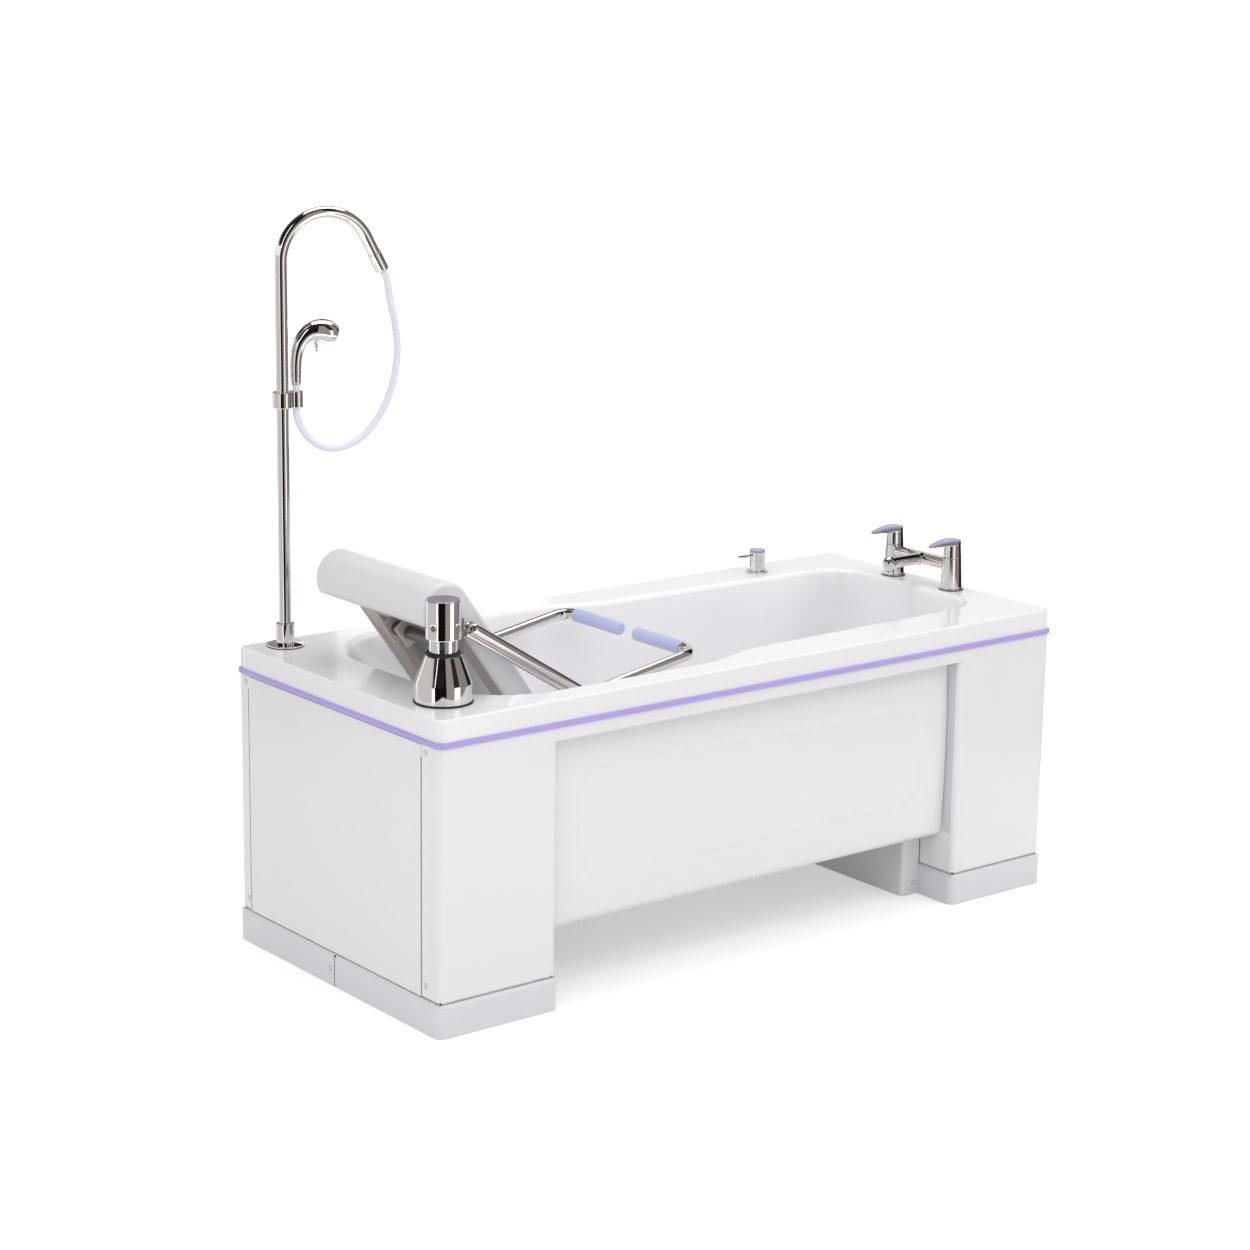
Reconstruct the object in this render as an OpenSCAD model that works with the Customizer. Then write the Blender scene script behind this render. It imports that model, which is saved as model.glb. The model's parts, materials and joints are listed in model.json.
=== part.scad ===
// Fixed-height assisted bath: tub, aprons and plinths on a steel frame, a powered transfer seat
// on a lift column at the head end, a shower riser and a bridged bath tap.
// Lengths run from the head end, widths from the near side, heights from the floor.

/* [Bath body] */
// Length over the rim
bath_length = 1700; // [1650:10:1800]
// Width over the rim
bath_width = 754; // [740:2:790]
// Height of the rim above the floor
rim_height = 658; // [640:1:690]
// Height of the vertical band round the rim
rim_band = 51; // [40:1:60]
// Wall of the tub moulding
tub_wall = 6; // [4:0.5:8]
// Rounding of the rim's top edge
rim_round = 8; // [4:1:12]
// Radius of the upright corners
corner_radius = 12; // [8:1:16]
// Height of the lilac bumper strip
bumper_height = 15; // [10:1:20]
// How far the bumper strip stands proud
bumper_proud = 5; // [3:0.5:8]

/* [Basin] */
// Inner floor of the basin above the room floor
basin_floor = 196; // [190:1:220]
// Deck between the head end and the basin
head_deck = 143; // [138:1:155]
// Deck between the basin and the foot end
foot_deck = 92; // [88:1:110]
// Deck beside the wide part of the basin
side_deck = 72; // [64:1:84]
// How much narrower each side is past the seat
waist_step = 46; // [20:1:60]
// Further narrowing of each side towards the foot
foot_taper = 27; // [0:1:40]
// Where the waist curve starts
waist_start = 730; // [680:5:780]
// Length of the waist curve
waist_length = 170; // [120:5:220]
// Radius of the basin's head corners in plan
head_corner = 190; // [150:5:220]
// Radius of the basin's foot corners in plan
foot_corner = 90; // [60:5:110]
// Slope of the basin's head wall
head_wall_angle = 62; // [58:1:70]
// Slope of the basin's foot wall
foot_wall_angle = 83; // [78:1:87]
// Slope of the basin's side walls
side_wall_angle = 84; // [80:1:87]
// Radius between the head wall and the floor
head_wall_radius = 120; // [80:5:150]
// Radius between the foot wall and the floor
foot_wall_radius = 80; // [60:5:110]
// Radius between the side walls and the floor
side_wall_radius = 110; // [80:5:140]

/* [Panels] */
// Wall of the apron and panel mouldings
panel_wall = 4; // [3:0.5:6]
// Length of the head pod
head_pod = 289; // [270:1:310]
// Length of the foot pod
foot_pod = 281; // [260:1:300]
// Depth of the pod side walls
pod_depth = 108; // [90:1:116]
// How far the tub panel is set back
panel_set_back = 38; // [30:1:46]
// Bulge of the tub panel
panel_bulge = 6; // [3:0.5:10]
// Underside of the tub panel
panel_floor = 157; // [150:1:165]
// Height of the apron strip above the tub panel
strip_height = 34; // [28:1:44]
// Rounding of the tub panel's lower corners
panel_corner = 28; // [20:1:34]
// Depth of the recess pressed into the tub panel
recess_depth = 2.5; // [1:0.5:4]
// Corner radius of the pressed recess
recess_corner = 70; // [40:5:90]
// Near flange beside each end panel
near_flange = 64; // [50:1:76]
// Far flange beside each end panel
far_flange = 42; // [36:1:60]
// How far the end panels stand proud
end_proud = 1.5; // [0.5:0.5:3]
// Width of the lip under the apron walls
lip_width = 9; // [6:1:12]

/* [Plinth] */
// Height of the plinth
plinth_height = 70; // [60:1:80]
// How far the plinth stands proud
plinth_proud = 5; // [3:1:8]
// Wall of the plinth
plinth_wall = 3; // [2:0.5:5]
// Height of the plinth's chamfered top
plinth_chamfer = 6; // [3:1:8]
// Shadow gap between plinth and panels
shadow_gap = 6; // [3:1:8]
// How far the kick covers reach under the tub past the pods
kick_reach = 52; // [40:1:64]

/* [Frame] */
// Width of the square frame tube
frame_tube = 30; // [25:1:34]
// Height of the levelling feet
foot_height = 32; // [28:1:40]
// Diameter of a levelling foot
foot_pad = 44; // [36:1:50]
// Width of the rails under the basin
rail_tube = 24; // [20:1:25]
// Head of a cover screw
screw_head = 9; // [7:0.5:11]

/* [Seat lift] */
// Column centre from the head end
column_u = 95; // [92:1:100]
// Column centre from the near side
column_v = 124; // [120:1:130]
// Diameter of the moving column
column_diameter = 58; // [54:1:62]
// Wall of the moving column
column_wall = 4; // [3:0.5:5]
// Diameter of the base under the cone
base_diameter = 117; // [110:1:122]
// Height of the straight part of the base
base_straight = 37; // [30:1:45]
// Height of the cone
cone_height = 57; // [48:1:66]
// Diameter of the cone's top
cone_top = 73; // [70:1:78]
// Height of the wiper ring
seal_height = 6; // [4:1:8]
// Column left in view below the cap at rest
column_show = 27; // [20:1:34]
// Diameter of the cap
cap_diameter = 72; // [68:1:76]
// Height of the cap
cap_height = 79; // [70:1:86]
// Radial clearance of running fits
running_clearance = 0.05; // [0.03:0.01:0.1]
// Bore of the guide tube
guide_bore = 66; // [66:0.5:68]
// Wall of the guide tube
guide_wall = 6; // [4:1:7]
// Travel of the seat
lift_travel = 420; // [400:5:430]

/* [Seat] */
// Roll centre from the head end
roll_u = 140; // [134:1:146]
// Roll centre above the rim
roll_rise = 170; // [160:1:180]
// Radius of the head roll
roll_radius = 57; // [50:1:62]
// Slope of the backrest
back_angle = 54; // [50:1:58]
// Length of the backrest below the roll
back_length = 545; // [520:5:560]
// Radius between backrest and seat pan
knee_radius = 100; // [80:5:120]
// Rise of the seat pan towards its front
pan_tilt = 4; // [0:1:8]
// Length of the seat pan
pan_length = 330; // [280:5:350]
// Gap between the column's cap and the side of the seat
column_gap = 15; // [8:1:27]
// Wall of the seat moulding
seat_wall = 8; // [6:0.5:10]
// Depth of the seat's side cheeks
cheek_depth = 58; // [52:1:64]
// Width of a frame bar
bar_width = 50; // [40:1:56]
// Thickness of a frame bar
bar_thick = 10; // [6:1:12]
// Diameter of the carrying tube behind the seat
carry_diameter = 28; // [24:1:30]

/* [Armrests] */
// Diameter of the armrest tube
arm_diameter = 26; // [22:1:28]
// Gap between the armrest tube and the seat's cheek
arm_gap = 12; // [10:1:16]
// Slope of the armrest's rear part
arm_drop_angle = 32; // [28:1:36]
// Slope of the armrest's front part
arm_rise_angle = 10; // [6:1:14]
// Length of the armrest's rear part
arm_rear = 325; // [300:5:340]
// Length of the armrest's front part
arm_front = 244; // [220:2:260]
// Bend radius of the armrest tube
arm_bend = 36; // [30:1:45]
// Length of a grip
grip_length = 155; // [130:5:165]
// Wall of a grip
grip_wall = 2; // [1.5:0.5:4]

/* [Riser] */
// Riser centre from the head end
riser_u = 83; // [76:1:95]
// Riser centre from the far side
riser_back = 57; // [54:1:66]
// Turn of the crook towards the near side
riser_turn = 13; // [0:1:20]
// Diameter of the riser flange
riser_flange = 80; // [70:1:90]
// Diameter of the riser socket
socket_diameter = 40; // [36:1:44]
// Height of the riser socket
socket_height = 50; // [40:1:60]
// Diameter of the riser pole
pole_diameter = 26; // [22:1:28]
// Height of the straight pole above the rim
pole_height = 820; // [800:5:840]
// Radius of the crook
crook_radius = 100; // [90:1:110]
// Turn of the crook
crook_angle = 153; // [145:1:160]
// Straight end of the crook before the ferrule
crook_tail = 38; // [30:1:45]
// Length of the ferrule
ferrule_length = 42; // [34:1:50]
// Diameter of the ferrule
ferrule_diameter = 29; // [28:0.5:32]
// Height of the slider above the rim
slider_rise = 514; // [505:1:520]
// Height of the slider
slider_height = 34; // [28:1:36]
// Distance from the pole to the handset
slider_reach = 30; // [28:1:34]
// Diameter of the hose
hose_diameter = 15; // [12:0.5:16]

/* [Tap] */
// Tap centre line from the foot end
tap_back = 45; // [40:1:50]
// Distance between the two pillars
tap_centres = 196; // [180:1:205]
// Height of a pillar body
pillar_height = 72; // [60:1:78]
// Diameter of a pillar at its foot
pillar_foot = 50; // [42:1:52]
// Diameter of a pillar at its joint
pillar_top = 43; // [36:1:46]
// Diameter of a tap flange
tap_flange = 57; // [52:1:60]
// Height of the bridge above the deck
bridge_rise = 58; // [50:1:60]
// Diameter of the bridge
bridge_diameter = 30; // [24:1:32]
// Reach of the spout from the bridge
spout_reach = 108; // [90:1:120]
// Diameter of the spout
spout_diameter = 28; // [22:1:30]
// Height of a tap handle
handle_height = 43; // [34:1:48]
// Reach of a tap lever from its pillar
lever_reach = 88; // [60:1:92]
// Width of a tap lever
lever_width = 33; // [26:1:36]

/* [Valve and waste] */
// Valve centre from the foot end
valve_u_back = 300; // [260:5:340]
// Valve centre from the far side
valve_v_back = 72; // [60:1:80]
// Diameter of the valve body
valve_diameter = 37; // [32:1:40]
// Height of the fixed valve body
valve_height = 30; // [24:1:36]
// Length of the valve lever
valve_lever_length = 42; // [34:1:50]
// Waste centre from the foot end
waste_back = 260; // [250:5:280]
// Bore of the waste
waste_bore = 42; // [38:1:46]
// Diameter of the waste plug
plug_diameter = 58; // [54:1:62]
// Lift of the plug
plug_lift = 8; // [6:1:10]

/* [Hidden] */
$fn = 48;

// Small gap left between pieces that seat on each other
seat_gap = 0.3;
// Extra length of a cut so that it passes its faces
over = 1;

white = "#F2F2F5";
lilac = "#B4A4E2";
chrome = "#C8C8CC";
steel = "#9A9088";
black = "#1C1C1E";
grip_blue = "#B9BFE6";

mid_v = bath_width / 2;
deck_under = rim_height - tub_wall;
band_floor = rim_height - rim_band;
apron_top = band_floor - seat_gap;
apron_floor = plinth_height + shadow_gap;
strip_floor = apron_top - strip_height;
foot_pod_u = bath_length - foot_pod;
panel_start = head_pod + seat_gap;
panel_end = foot_pod_u - seat_gap;
panel_top = strip_floor - seat_gap;

// Points along an arc from angle a0 to a1
function arc(cu, cv, r, a0, a1, n) =
    [for (i = [0:n]) let (a = a0 + (a1 - a0) * i / n) [cu + r * cos(a), cv + r * sin(a)]];

// A list in reverse order
function reversed(points) = [for (i = [len(points) - 1:-1:0]) points[i]];

// Slow start and slow end between 0 and 1
function ease(t) = t * t * (3 - 2 * t);

// Sets a model drawn from the head end and near side on the centre of the bath
module placed() translate([-bath_length / 2, -bath_width / 2, 0]) children();

// Mirrors a model drawn for the near side to the far side
module far_side() translate([0, bath_width, 0]) mirror([0, 1, 0]) children();

// A box between two corners
module block(a, b) translate(a) cube(b - a);

// A rectangle between two corners with round corners
module round_rect(a, b, r) {
    translate([a[0] + r, a[1]]) square([b[0] - a[0] - 2 * r, b[1] - a[1]]);
    translate([a[0], a[1] + r]) square([b[0] - a[0], b[1] - a[1] - 2 * r]);
    for (x = [a[0] + r, b[0] - r], y = [a[1] + r, b[1] - r]) translate([x, y]) circle(r);
}

// Extrudes a width and height profile along the length
module along_length(u0, u1) translate([u0, 0, 0]) rotate([90, 0, 90]) linear_extrude(u1 - u0) children();

// Extrudes a length and height profile along the width
module along_width(v0, v1) translate([0, v1, 0]) rotate([90, 0, 0]) linear_extrude(v1 - v0) children();

// Extrudes a plan between two heights
module upright(z0, z1) translate([0, 0, z0]) linear_extrude(z1 - z0) children();

// Round bar between two heights
module post(u, v, z0, z1, d) translate([u, v, z0]) cylinder(h = z1 - z0, d = d);

// How far a straight run of tube reaches into its bend, and how much thinner it is
tube_lap = 1;
tube_step = 0.1;

// Tube that runs up, turning at each step: length, turn and roll about its own line
module bent_tube(steps, d, bend, i = 0) {
    run = steps[i][0];
    turn = steps[i][1];
    before = i > 0 ? tube_lap : 0;
    after = turn > 0 ? tube_lap : 0;
    translate([0, 0, -before]) cylinder(h = run + before + after, d = d - tube_step);
    if (turn > 0) translate([0, 0, run]) rotate([0, 0, steps[i][2]]) {
        translate([bend, 0, 0]) rotate([90, 0, 0]) rotate([0, 0, 180 - turn])
            rotate_extrude(angle = turn) translate([bend, 0]) circle(d = d);
        translate([bend * (1 - cos(turn)), 0, bend * sin(turn)]) rotate([0, turn, 0])
            if (i + 1 < len(steps)) bent_tube(steps, d, bend, i + 1);
    }
}

// Direction of a path in the x and z plane at point i
function heading(path, i) =
    let (a = path[max(i - 1, 0)], b = path[min(i + 1, len(path) - 1)])
    atan2(b[1] - a[1], b[0] - a[0]);

// Solid swept along a path in the x and z plane with a radius at each point
module swept(path, radii, sides) {
    rings = len(path);
    points = [for (i = [0:rings - 1], k = [0:sides - 1])
        let (a = heading(path, i), t = 360 * k / sides, w = radii[i] * cos(t))
        [path[i][0] - w * sin(a), radii[i] * sin(t), path[i][1] + w * cos(a)]];
    walls = [for (i = [0:rings - 2], k = [0:sides - 1])
        let (p = i * sides + k, q = i * sides + (k + 1) % sides)
        each [[p, q, q + sides], [p, q + sides, p + sides]]];
    first_end = [for (k = [1:sides - 2]) [0, k + 1, k]];
    last = (rings - 1) * sides;
    last_end = [for (k = [1:sides - 2]) [last, last + k, last + k + 1]];
    polyhedron(points, concat(walls, first_end, last_end));
}

// Smooth path through hand-chosen points
function smooth(p, n) = concat([for (i = [0:len(p) - 2], k = [0:n - 1])
    let (a = p[max(i - 1, 0)], b = p[i], c = p[i + 1], d = p[min(i + 2, len(p) - 1)], t = k / n)
    0.5 * (2 * b + (c - a) * t + (2 * a - 5 * b + 4 * c - d) * t * t
        + (3 * b - a - 3 * c + d) * t * t * t)], [p[len(p) - 1]]);

// Basin outline in plan, grown outwards by g
function half_width(u) = mid_v - side_deck
    - waist_step * ease(min(max((u - waist_start) / waist_length, 0), 1))
    - foot_taper * max(u - waist_start - waist_length, 0) / (bath_length - waist_start - waist_length);
basin_foot = bath_length - foot_deck;
waist_steps = 10;
function basin_side(g) = concat(
    arc(head_deck + head_corner, mid_v - half_width(0) + head_corner, head_corner + g, 180, 270, 12),
    [for (i = [0:waist_steps]) let (u = waist_start + waist_length * i / waist_steps)
        [u, mid_v - half_width(u) - g]],
    arc(basin_foot - foot_corner, mid_v - half_width(basin_foot - foot_corner) + foot_corner,
        foot_corner + g, 270, 360, 10));
function mirrored(points) = [for (p = points) [p[0], bath_width - p[1]]];
module basin_plan(g) polygon(concat(basin_side(g), reversed(mirrored(basin_side(g)))));

// Wall that leaves a floor arc of radius r at slope angle a and reaches the top at height z
function wall_run(r, a, z) = (z - basin_floor - r + r * cos(a)) / sin(a);
// Distance from the arc's centre to where that wall meets the rim
function wall_reach(r, a) = r * sin(a) + wall_run(r, a, rim_height) * cos(a);
function wall_top(r, a, g, z) = (r + g) * sin(a) + (z - basin_floor - r + (r + g) * cos(a)) / sin(a) * cos(a);

// Basin profile along the length, grown by g
module basin_length_profile(g) {
    top = rim_height + over;
    head_c = head_deck + wall_reach(head_wall_radius, head_wall_angle);
    foot_c = basin_foot - wall_reach(foot_wall_radius, foot_wall_angle);
    polygon(concat(
        [[head_c - wall_top(head_wall_radius, head_wall_angle, g, top), top]],
        arc(head_c, basin_floor + head_wall_radius, head_wall_radius + g, 270 - head_wall_angle, 270, 8),
        arc(foot_c, basin_floor + foot_wall_radius, foot_wall_radius + g, 270, 270 + foot_wall_angle, 8),
        [[foot_c + wall_top(foot_wall_radius, foot_wall_angle, g, top), top]]));
}

// Basin profile across the width, grown by g
module basin_width_profile(g) {
    top = rim_height + over;
    r = side_wall_radius;
    a = side_wall_angle;
    c = half_width(0) - wall_reach(r, a);
    polygon(concat(
        [[mid_v - c - wall_top(r, a, g, top), top]],
        arc(mid_v - c, basin_floor + r, r + g, 270 - a, 270, 8),
        arc(mid_v + c, basin_floor + r, r + g, 270, 270 + a, 8),
        [[mid_v + c + wall_top(r, a, g, top), top]]));
}

// Space of the basin, grown by g
module basin_space(g, top) intersection() {
    upright(basin_floor - g - over, top) basin_plan(g);
    along_width(0, bath_width) basin_length_profile(g);
    along_length(0, bath_length) basin_width_profile(g);
}

tap_u = bath_length - tap_back;
tap_vs = [mid_v - tap_centres / 2, mid_v + tap_centres / 2];
riser_v = bath_width - riser_back;
valve_u = bath_length - valve_u_back;
valve_v = bath_width - valve_v_back;
waste_u = bath_length - waste_back;
tail_diameter = 26;
hole_clearance = 1;
guide_diameter = guide_bore + 2 * guide_wall;
waste_tail = waste_bore + 2 * 3.5;

// Solid of the rim and deck, its upper edges rounded
module rim_solid() intersection() {
    upright(band_floor, rim_height) round_rect([0, 0], [bath_length, bath_width], corner_radius);
    along_width(0, bath_width)
        round_rect([0, band_floor - 2 * rim_round], [bath_length, rim_height], rim_round);
    along_length(0, bath_length)
        round_rect([0, band_floor - 2 * rim_round], [bath_width, rim_height], rim_round);
}

module tub_shell() color(white) placed() difference() {
    union() {
        difference() {
            rim_solid();
            block([tub_wall, tub_wall, band_floor - over],
                [bath_length - tub_wall, bath_width - tub_wall, deck_under]);
        }
        basin_space(tub_wall, deck_under + over);
    }
    basin_space(0, rim_height + over);
    post(column_u, column_v, deck_under - over, rim_height + over, guide_diameter + hole_clearance);
    for (v = tap_vs) post(tap_u, v, deck_under - over, rim_height + over, tail_diameter + hole_clearance);
    post(riser_u, riser_v, deck_under - over, rim_height + over, tail_diameter + hole_clearance);
    post(valve_u, valve_v, deck_under - over, rim_height + over, tail_diameter + hole_clearance);
    post(waste_u, mid_v, basin_floor - tub_wall - over, basin_floor + over, waste_tail + hole_clearance);
}

bumper_mid = band_floor;
bumper_bevel = 3;

// Profile with bevelled corners, used across and along
module bevelled(a, b, c) polygon([
    [a[0] + c, a[1]], [b[0] - c, a[1]], [b[0], a[1] + c], [b[0], b[1] - c],
    [b[0] - c, b[1]], [a[0] + c, b[1]], [a[0], b[1] - c], [a[0], a[1] + c]]);

module bumper_trim() color(lilac) placed() {
    low = bumper_mid - bumper_height / 2;
    high = bumper_mid + bumper_height / 2;
    p = bumper_proud;
    difference() {
        intersection() {
            upright(low, high)
                round_rect([-p, -p], [bath_length + p, bath_width + p], corner_radius + p);
            along_width(-p, bath_width + p) bevelled([-p, low], [bath_length + p, high], bumper_bevel);
            along_length(-p, bath_length + p) bevelled([-p, low], [bath_width + p, high], bumper_bevel);
        }
        upright(low - over, high + over) round_rect([-0.1, -0.1],
            [bath_length + 0.1, bath_width + 0.1], corner_radius);
    }
}

// Plan of both pods, drawn in by g
module pod_plans(g) {
    r = max(corner_radius - g, 1);
    round_rect([g, g], [head_pod - g, pod_depth + 2 * corner_radius], r);
    round_rect([foot_pod_u + g, g], [bath_length - g, pod_depth + 2 * corner_radius], r);
}

lip_thick = 3;
// Outside of the basin moulding at its widest, and the foot of the notch that clears it
basin_near = side_deck - tub_wall;
notch_floor = basin_floor + 150;

// Apron for the near side with end flanges of the given width
module apron(flange) difference() {
    union() {
        difference() {
            upright(apron_floor, apron_top) pod_plans(0);
            upright(apron_floor + lip_thick, apron_top + over) pod_plans(panel_wall);
            upright(apron_floor - over, apron_floor + lip_thick + over) pod_plans(lip_width);
        }
        block([head_pod - corner_radius, 0, strip_floor],
            [foot_pod_u + corner_radius, panel_set_back, apron_top]);
    }
    block([head_pod - corner_radius - over, panel_wall, strip_floor + panel_wall],
        [foot_pod_u + corner_radius + over, panel_set_back + over, apron_top + over]);
    block([-over, pod_depth, 0], [bath_length + over, pod_depth + 60, rim_height]);
    block([head_pod - panel_wall - over, basin_near - over, notch_floor],
        [head_pod + over, pod_depth + over, apron_top + over]);
    for (u = [-over, bath_length - lip_width - over])
        block([u, flange, 0], [u + lip_width + 2 * over, pod_depth + over, rim_height]);
}

module near_apron() color(white) placed() apron(near_flange);
module far_apron() color(white) placed() far_side() apron(far_flange);

// Outline of the tub panel seen from the side, drawn in by g
module panel_outline(g) {
    round_rect([panel_start + g, panel_floor + g], [panel_end - g, panel_top - g], panel_corner - g);
    translate([panel_start + g, panel_top - 2 * panel_corner])
        square([panel_end - panel_start - 2 * g, 2 * panel_corner - g]);
}

panel_return = side_deck - tub_wall - panel_set_back + 4;
bulge_radius = pow((panel_top - panel_floor) / 2, 2) / (2 * panel_bulge) + panel_bulge / 2;

// Solid form of the tub panel, drawn in by g
module panel_solid(g) intersection() {
    along_width(0, panel_set_back + panel_return + g * over) panel_outline(g);
    along_length(panel_start, panel_end) intersection() {
        translate([panel_set_back - panel_bulge + bulge_radius, (panel_top + panel_floor) / 2])
            circle(bulge_radius - g, $fn = 360);
        union() {
            round_rect([panel_set_back - panel_bulge - 1 + g, panel_floor + g],
                [panel_set_back + panel_return + 2 * panel_corner, panel_top], panel_corner - g);
            translate([0, panel_top - 2 * panel_corner])
                square([panel_set_back + panel_return + over, 2 * panel_corner - g]);
        }
    }
}

panel_lip = 12;
mouth_depth = 90;
recess_inset = 112;
recess_foot_inset = 74;
recess_low = 89;
recess_high = 82;

// Pressed panel with a shallow recess, open at the top behind its lip for the supply hoses
module tub_panel() difference() {
    panel_solid(0);
    panel_solid(panel_wall);
    block([panel_start - over, panel_set_back + panel_lip, panel_top - mouth_depth],
        [panel_end + over, panel_set_back + panel_return + 2 * over, panel_top + over]);
    difference() {
        along_width(0, panel_set_back + recess_depth + over)
            round_rect([panel_start + recess_inset, panel_floor + recess_low],
                [panel_end - recess_foot_inset, panel_top - recess_high], recess_corner);
        translate([0, recess_depth, 0]) panel_solid(0);
    }
}

module near_tub_panel() color(white) placed() tub_panel();
module far_tub_panel() color(white) placed() far_side() tub_panel();

end_panel_top = bumper_mid - bumper_height / 2 - 1;

// End panel between the two flanges, with its outer face at u and its thickness inwards
module end_panel(u) block([u, near_flange + 0.5, apron_floor - 2],
    [u + panel_wall, bath_width - far_flange - 0.5, end_panel_top]);

module head_end_panel() color(white) placed() end_panel(-end_proud);
module foot_end_panel() color(white) placed() end_panel(bath_length + end_proud - panel_wall);

screw_inset = 14;
screw_rise = 23;
screw_drop = 23;
screw_proud = 2;
kick_screw_rise = 27;
kick_screw_inset = 16;

// Button head with its short shank, pointing along +u
module screw() {
    rotate([0, 90, 0]) difference() {
        translate([0, 0, -screw_proud]) cylinder(h = screw_proud, d1 = screw_head * 0.6, d2 = screw_head);
        translate([0, 0, -screw_proud - over]) cylinder(h = over + 1, d = screw_head * 0.3);
    }
}

kick_v = pod_depth + seat_gap;
joint_screw = 20;

module cover_screws() color(chrome) placed() {
    for (z = [apron_floor + screw_rise, strip_floor + screw_drop / 2],
        v = [near_flange - screw_inset, bath_width - far_flange + screw_inset]) {
        translate([-0.1, v, z]) screw();
        translate([bath_length + 0.1, v, z]) mirror([1, 0, 0]) screw();
    }
    translate([-plinth_proud - 0.1, mid_v + joint_screw, plinth_height / 2]) screw();
    translate([bath_length + plinth_proud + 0.1, mid_v + joint_screw, plinth_height / 2])
        mirror([1, 0, 0]) screw();
    for (u = [head_pod + kick_screw_inset, foot_pod_u - kick_screw_inset]) {
        translate([u, kick_v - 0.1, kick_screw_rise]) rotate([0, 0, 90]) screw();
        translate([u, bath_width - kick_v + 0.1, kick_screw_rise]) rotate([0, 0, -90]) screw();
    }
}

plinth_joint = 0.9;
// Profile of a plinth between a and b, its top chamfered on the sides that show
module plinth_profile(a, b) polygon([
    [a, 0], [b, 0], [b, plinth_height - plinth_chamfer], [b - plinth_proud, plinth_height],
    [a + plinth_proud, plinth_height], [a, plinth_height - plinth_chamfer]]);

// Plinth of one pod for the near half, meeting its partner at the middle
module plinth(pod) {
    p = plinth_proud;
    w = plinth_wall;
    difference() {
        intersection() {
            upright(0, plinth_height) round_rect([-p, -p], [pod + p, bath_width], corner_radius + p);
            along_width(-p, bath_width) plinth_profile(-p, pod + p);
            along_length(-p, pod + p) plinth_profile(-p, bath_width + p);
        }
        upright(-over, plinth_height + over)
            round_rect([w, w], [pod - w, bath_width + p], corner_radius);
        upright(-over, plinth_height - plinth_chamfer - w)
            round_rect([w - p, w - p], [pod + p - w, bath_width + p], corner_radius);
        block([-2 * p, mid_v - plinth_joint / 2, -over], [pod + 2 * p, bath_width + p, plinth_height + over]);
        block([pod / 2, pod_depth, -over], [pod + 2 * p, bath_width + p, plinth_height + over]);
    }
}

module head_plinth_near() color(white) placed() plinth(head_pod);
module head_plinth_far() color(white) placed() far_side() plinth(head_pod);
module foot_plinth_near() color(white) placed() translate([bath_length, 0, 0]) mirror([1, 0, 0])
    plinth(foot_pod);
module foot_plinth_far() color(white) placed() far_side() translate([bath_length, 0, 0]) mirror([1, 0, 0])
    plinth(foot_pod);

kick_wall = 2.5;
kick_top = panel_floor - 2;
kick_corner = 10;
kick_tuck = 30;

// Cover under the tub between the two pods of one end
module kick_cover(pod) {
    inner = pod - kick_tuck;
    upright(0, kick_top) difference() {
        round_rect([inner - 2 * kick_corner, kick_v], [pod + kick_reach, bath_width - kick_v], kick_corner);
        round_rect([inner - 3 * kick_corner, kick_v + kick_wall],
            [pod + kick_reach - kick_wall, bath_width - kick_v - kick_wall], kick_corner - kick_wall);
        square([inner, bath_width]);
    }
}

module head_kick_cover() color(white) placed() kick_cover(head_pod);
module foot_kick_cover() color(white) placed() translate([bath_length, 0, 0]) mirror([1, 0, 0])
    kick_cover(foot_pod);

frame_inset = 16;
frame_side = pod_depth + 20;
frame_reach = kick_reach - 20;
rail_top = basin_floor - tub_wall - seat_gap;
rail_floor = rail_top - rail_tube;
rail_v = mid_v - 142;
head_cross_inset = 290;
foot_cross_inset = 270;
rail_overlap = 10;
upright_v = mid_v - 187;

// Welded frame standing inside the pods of one end
module pod_frame(pod) {
    t = frame_tube;
    inner = pod + frame_reach;
    z = foot_height;
    for (v = [frame_side, bath_width - frame_side - t])
        block([frame_inset, v, z], [inner, v + t, z + t]);
    for (u = [frame_inset, inner - t])
        block([u, frame_side, z], [u + t, bath_width - frame_side, z + t]);
    for (v = [upright_v, bath_width - upright_v - t]) {
        block([frame_inset, v, z], [frame_inset + t, v + t, deck_under - seat_gap]);
    }
    for (v = [rail_v, bath_width - rail_v - rail_tube])
        block([inner - t, v - 3, z], [inner, v + rail_tube + 3, rail_floor - seat_gap]);
}

// Foot plate of the lift, part of the head frame
plate_thick = 8;
plate_reach = 50;
module column_plate() block([frame_inset, column_v - plate_reach, foot_height + frame_tube],
    [column_u + plate_reach, frame_side + frame_tube, foot_height + frame_tube + plate_thick]);

module head_frame() color(steel) placed() {
    pod_frame(head_pod);
    column_plate();
}
module foot_frame() color(steel) placed() translate([bath_length, 0, 0]) mirror([1, 0, 0])
    pod_frame(foot_pod);

// Rails under the basin between the two frames
module tub_rails() color(steel) placed() {
    from = head_pod + frame_reach - frame_tube;
    to = foot_pod_u - frame_reach + frame_tube;
    for (v = [rail_v, bath_width - rail_v - rail_tube])
        block([from, v, rail_floor], [to, v + rail_tube, rail_top]);
    for (u = [from + head_cross_inset, to - foot_cross_inset])
        block([u, rail_v, rail_floor], [u + rail_tube, bath_width - rail_v, rail_top]);
}

pad_thick = 9;
pad_taper = 10;
stem = 12;
nut = 22;
nut_thick = 9;

// Screwed foot under a frame corner
module levelling_foot() {
    cylinder(h = pad_thick, d1 = foot_pad, d2 = foot_pad - pad_taper);
    cylinder(h = foot_height - seat_gap, d = stem);
    translate([0, 0, foot_height - seat_gap - nut_thick]) cylinder(h = nut_thick, d = nut, $fn = 6);
}

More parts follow.
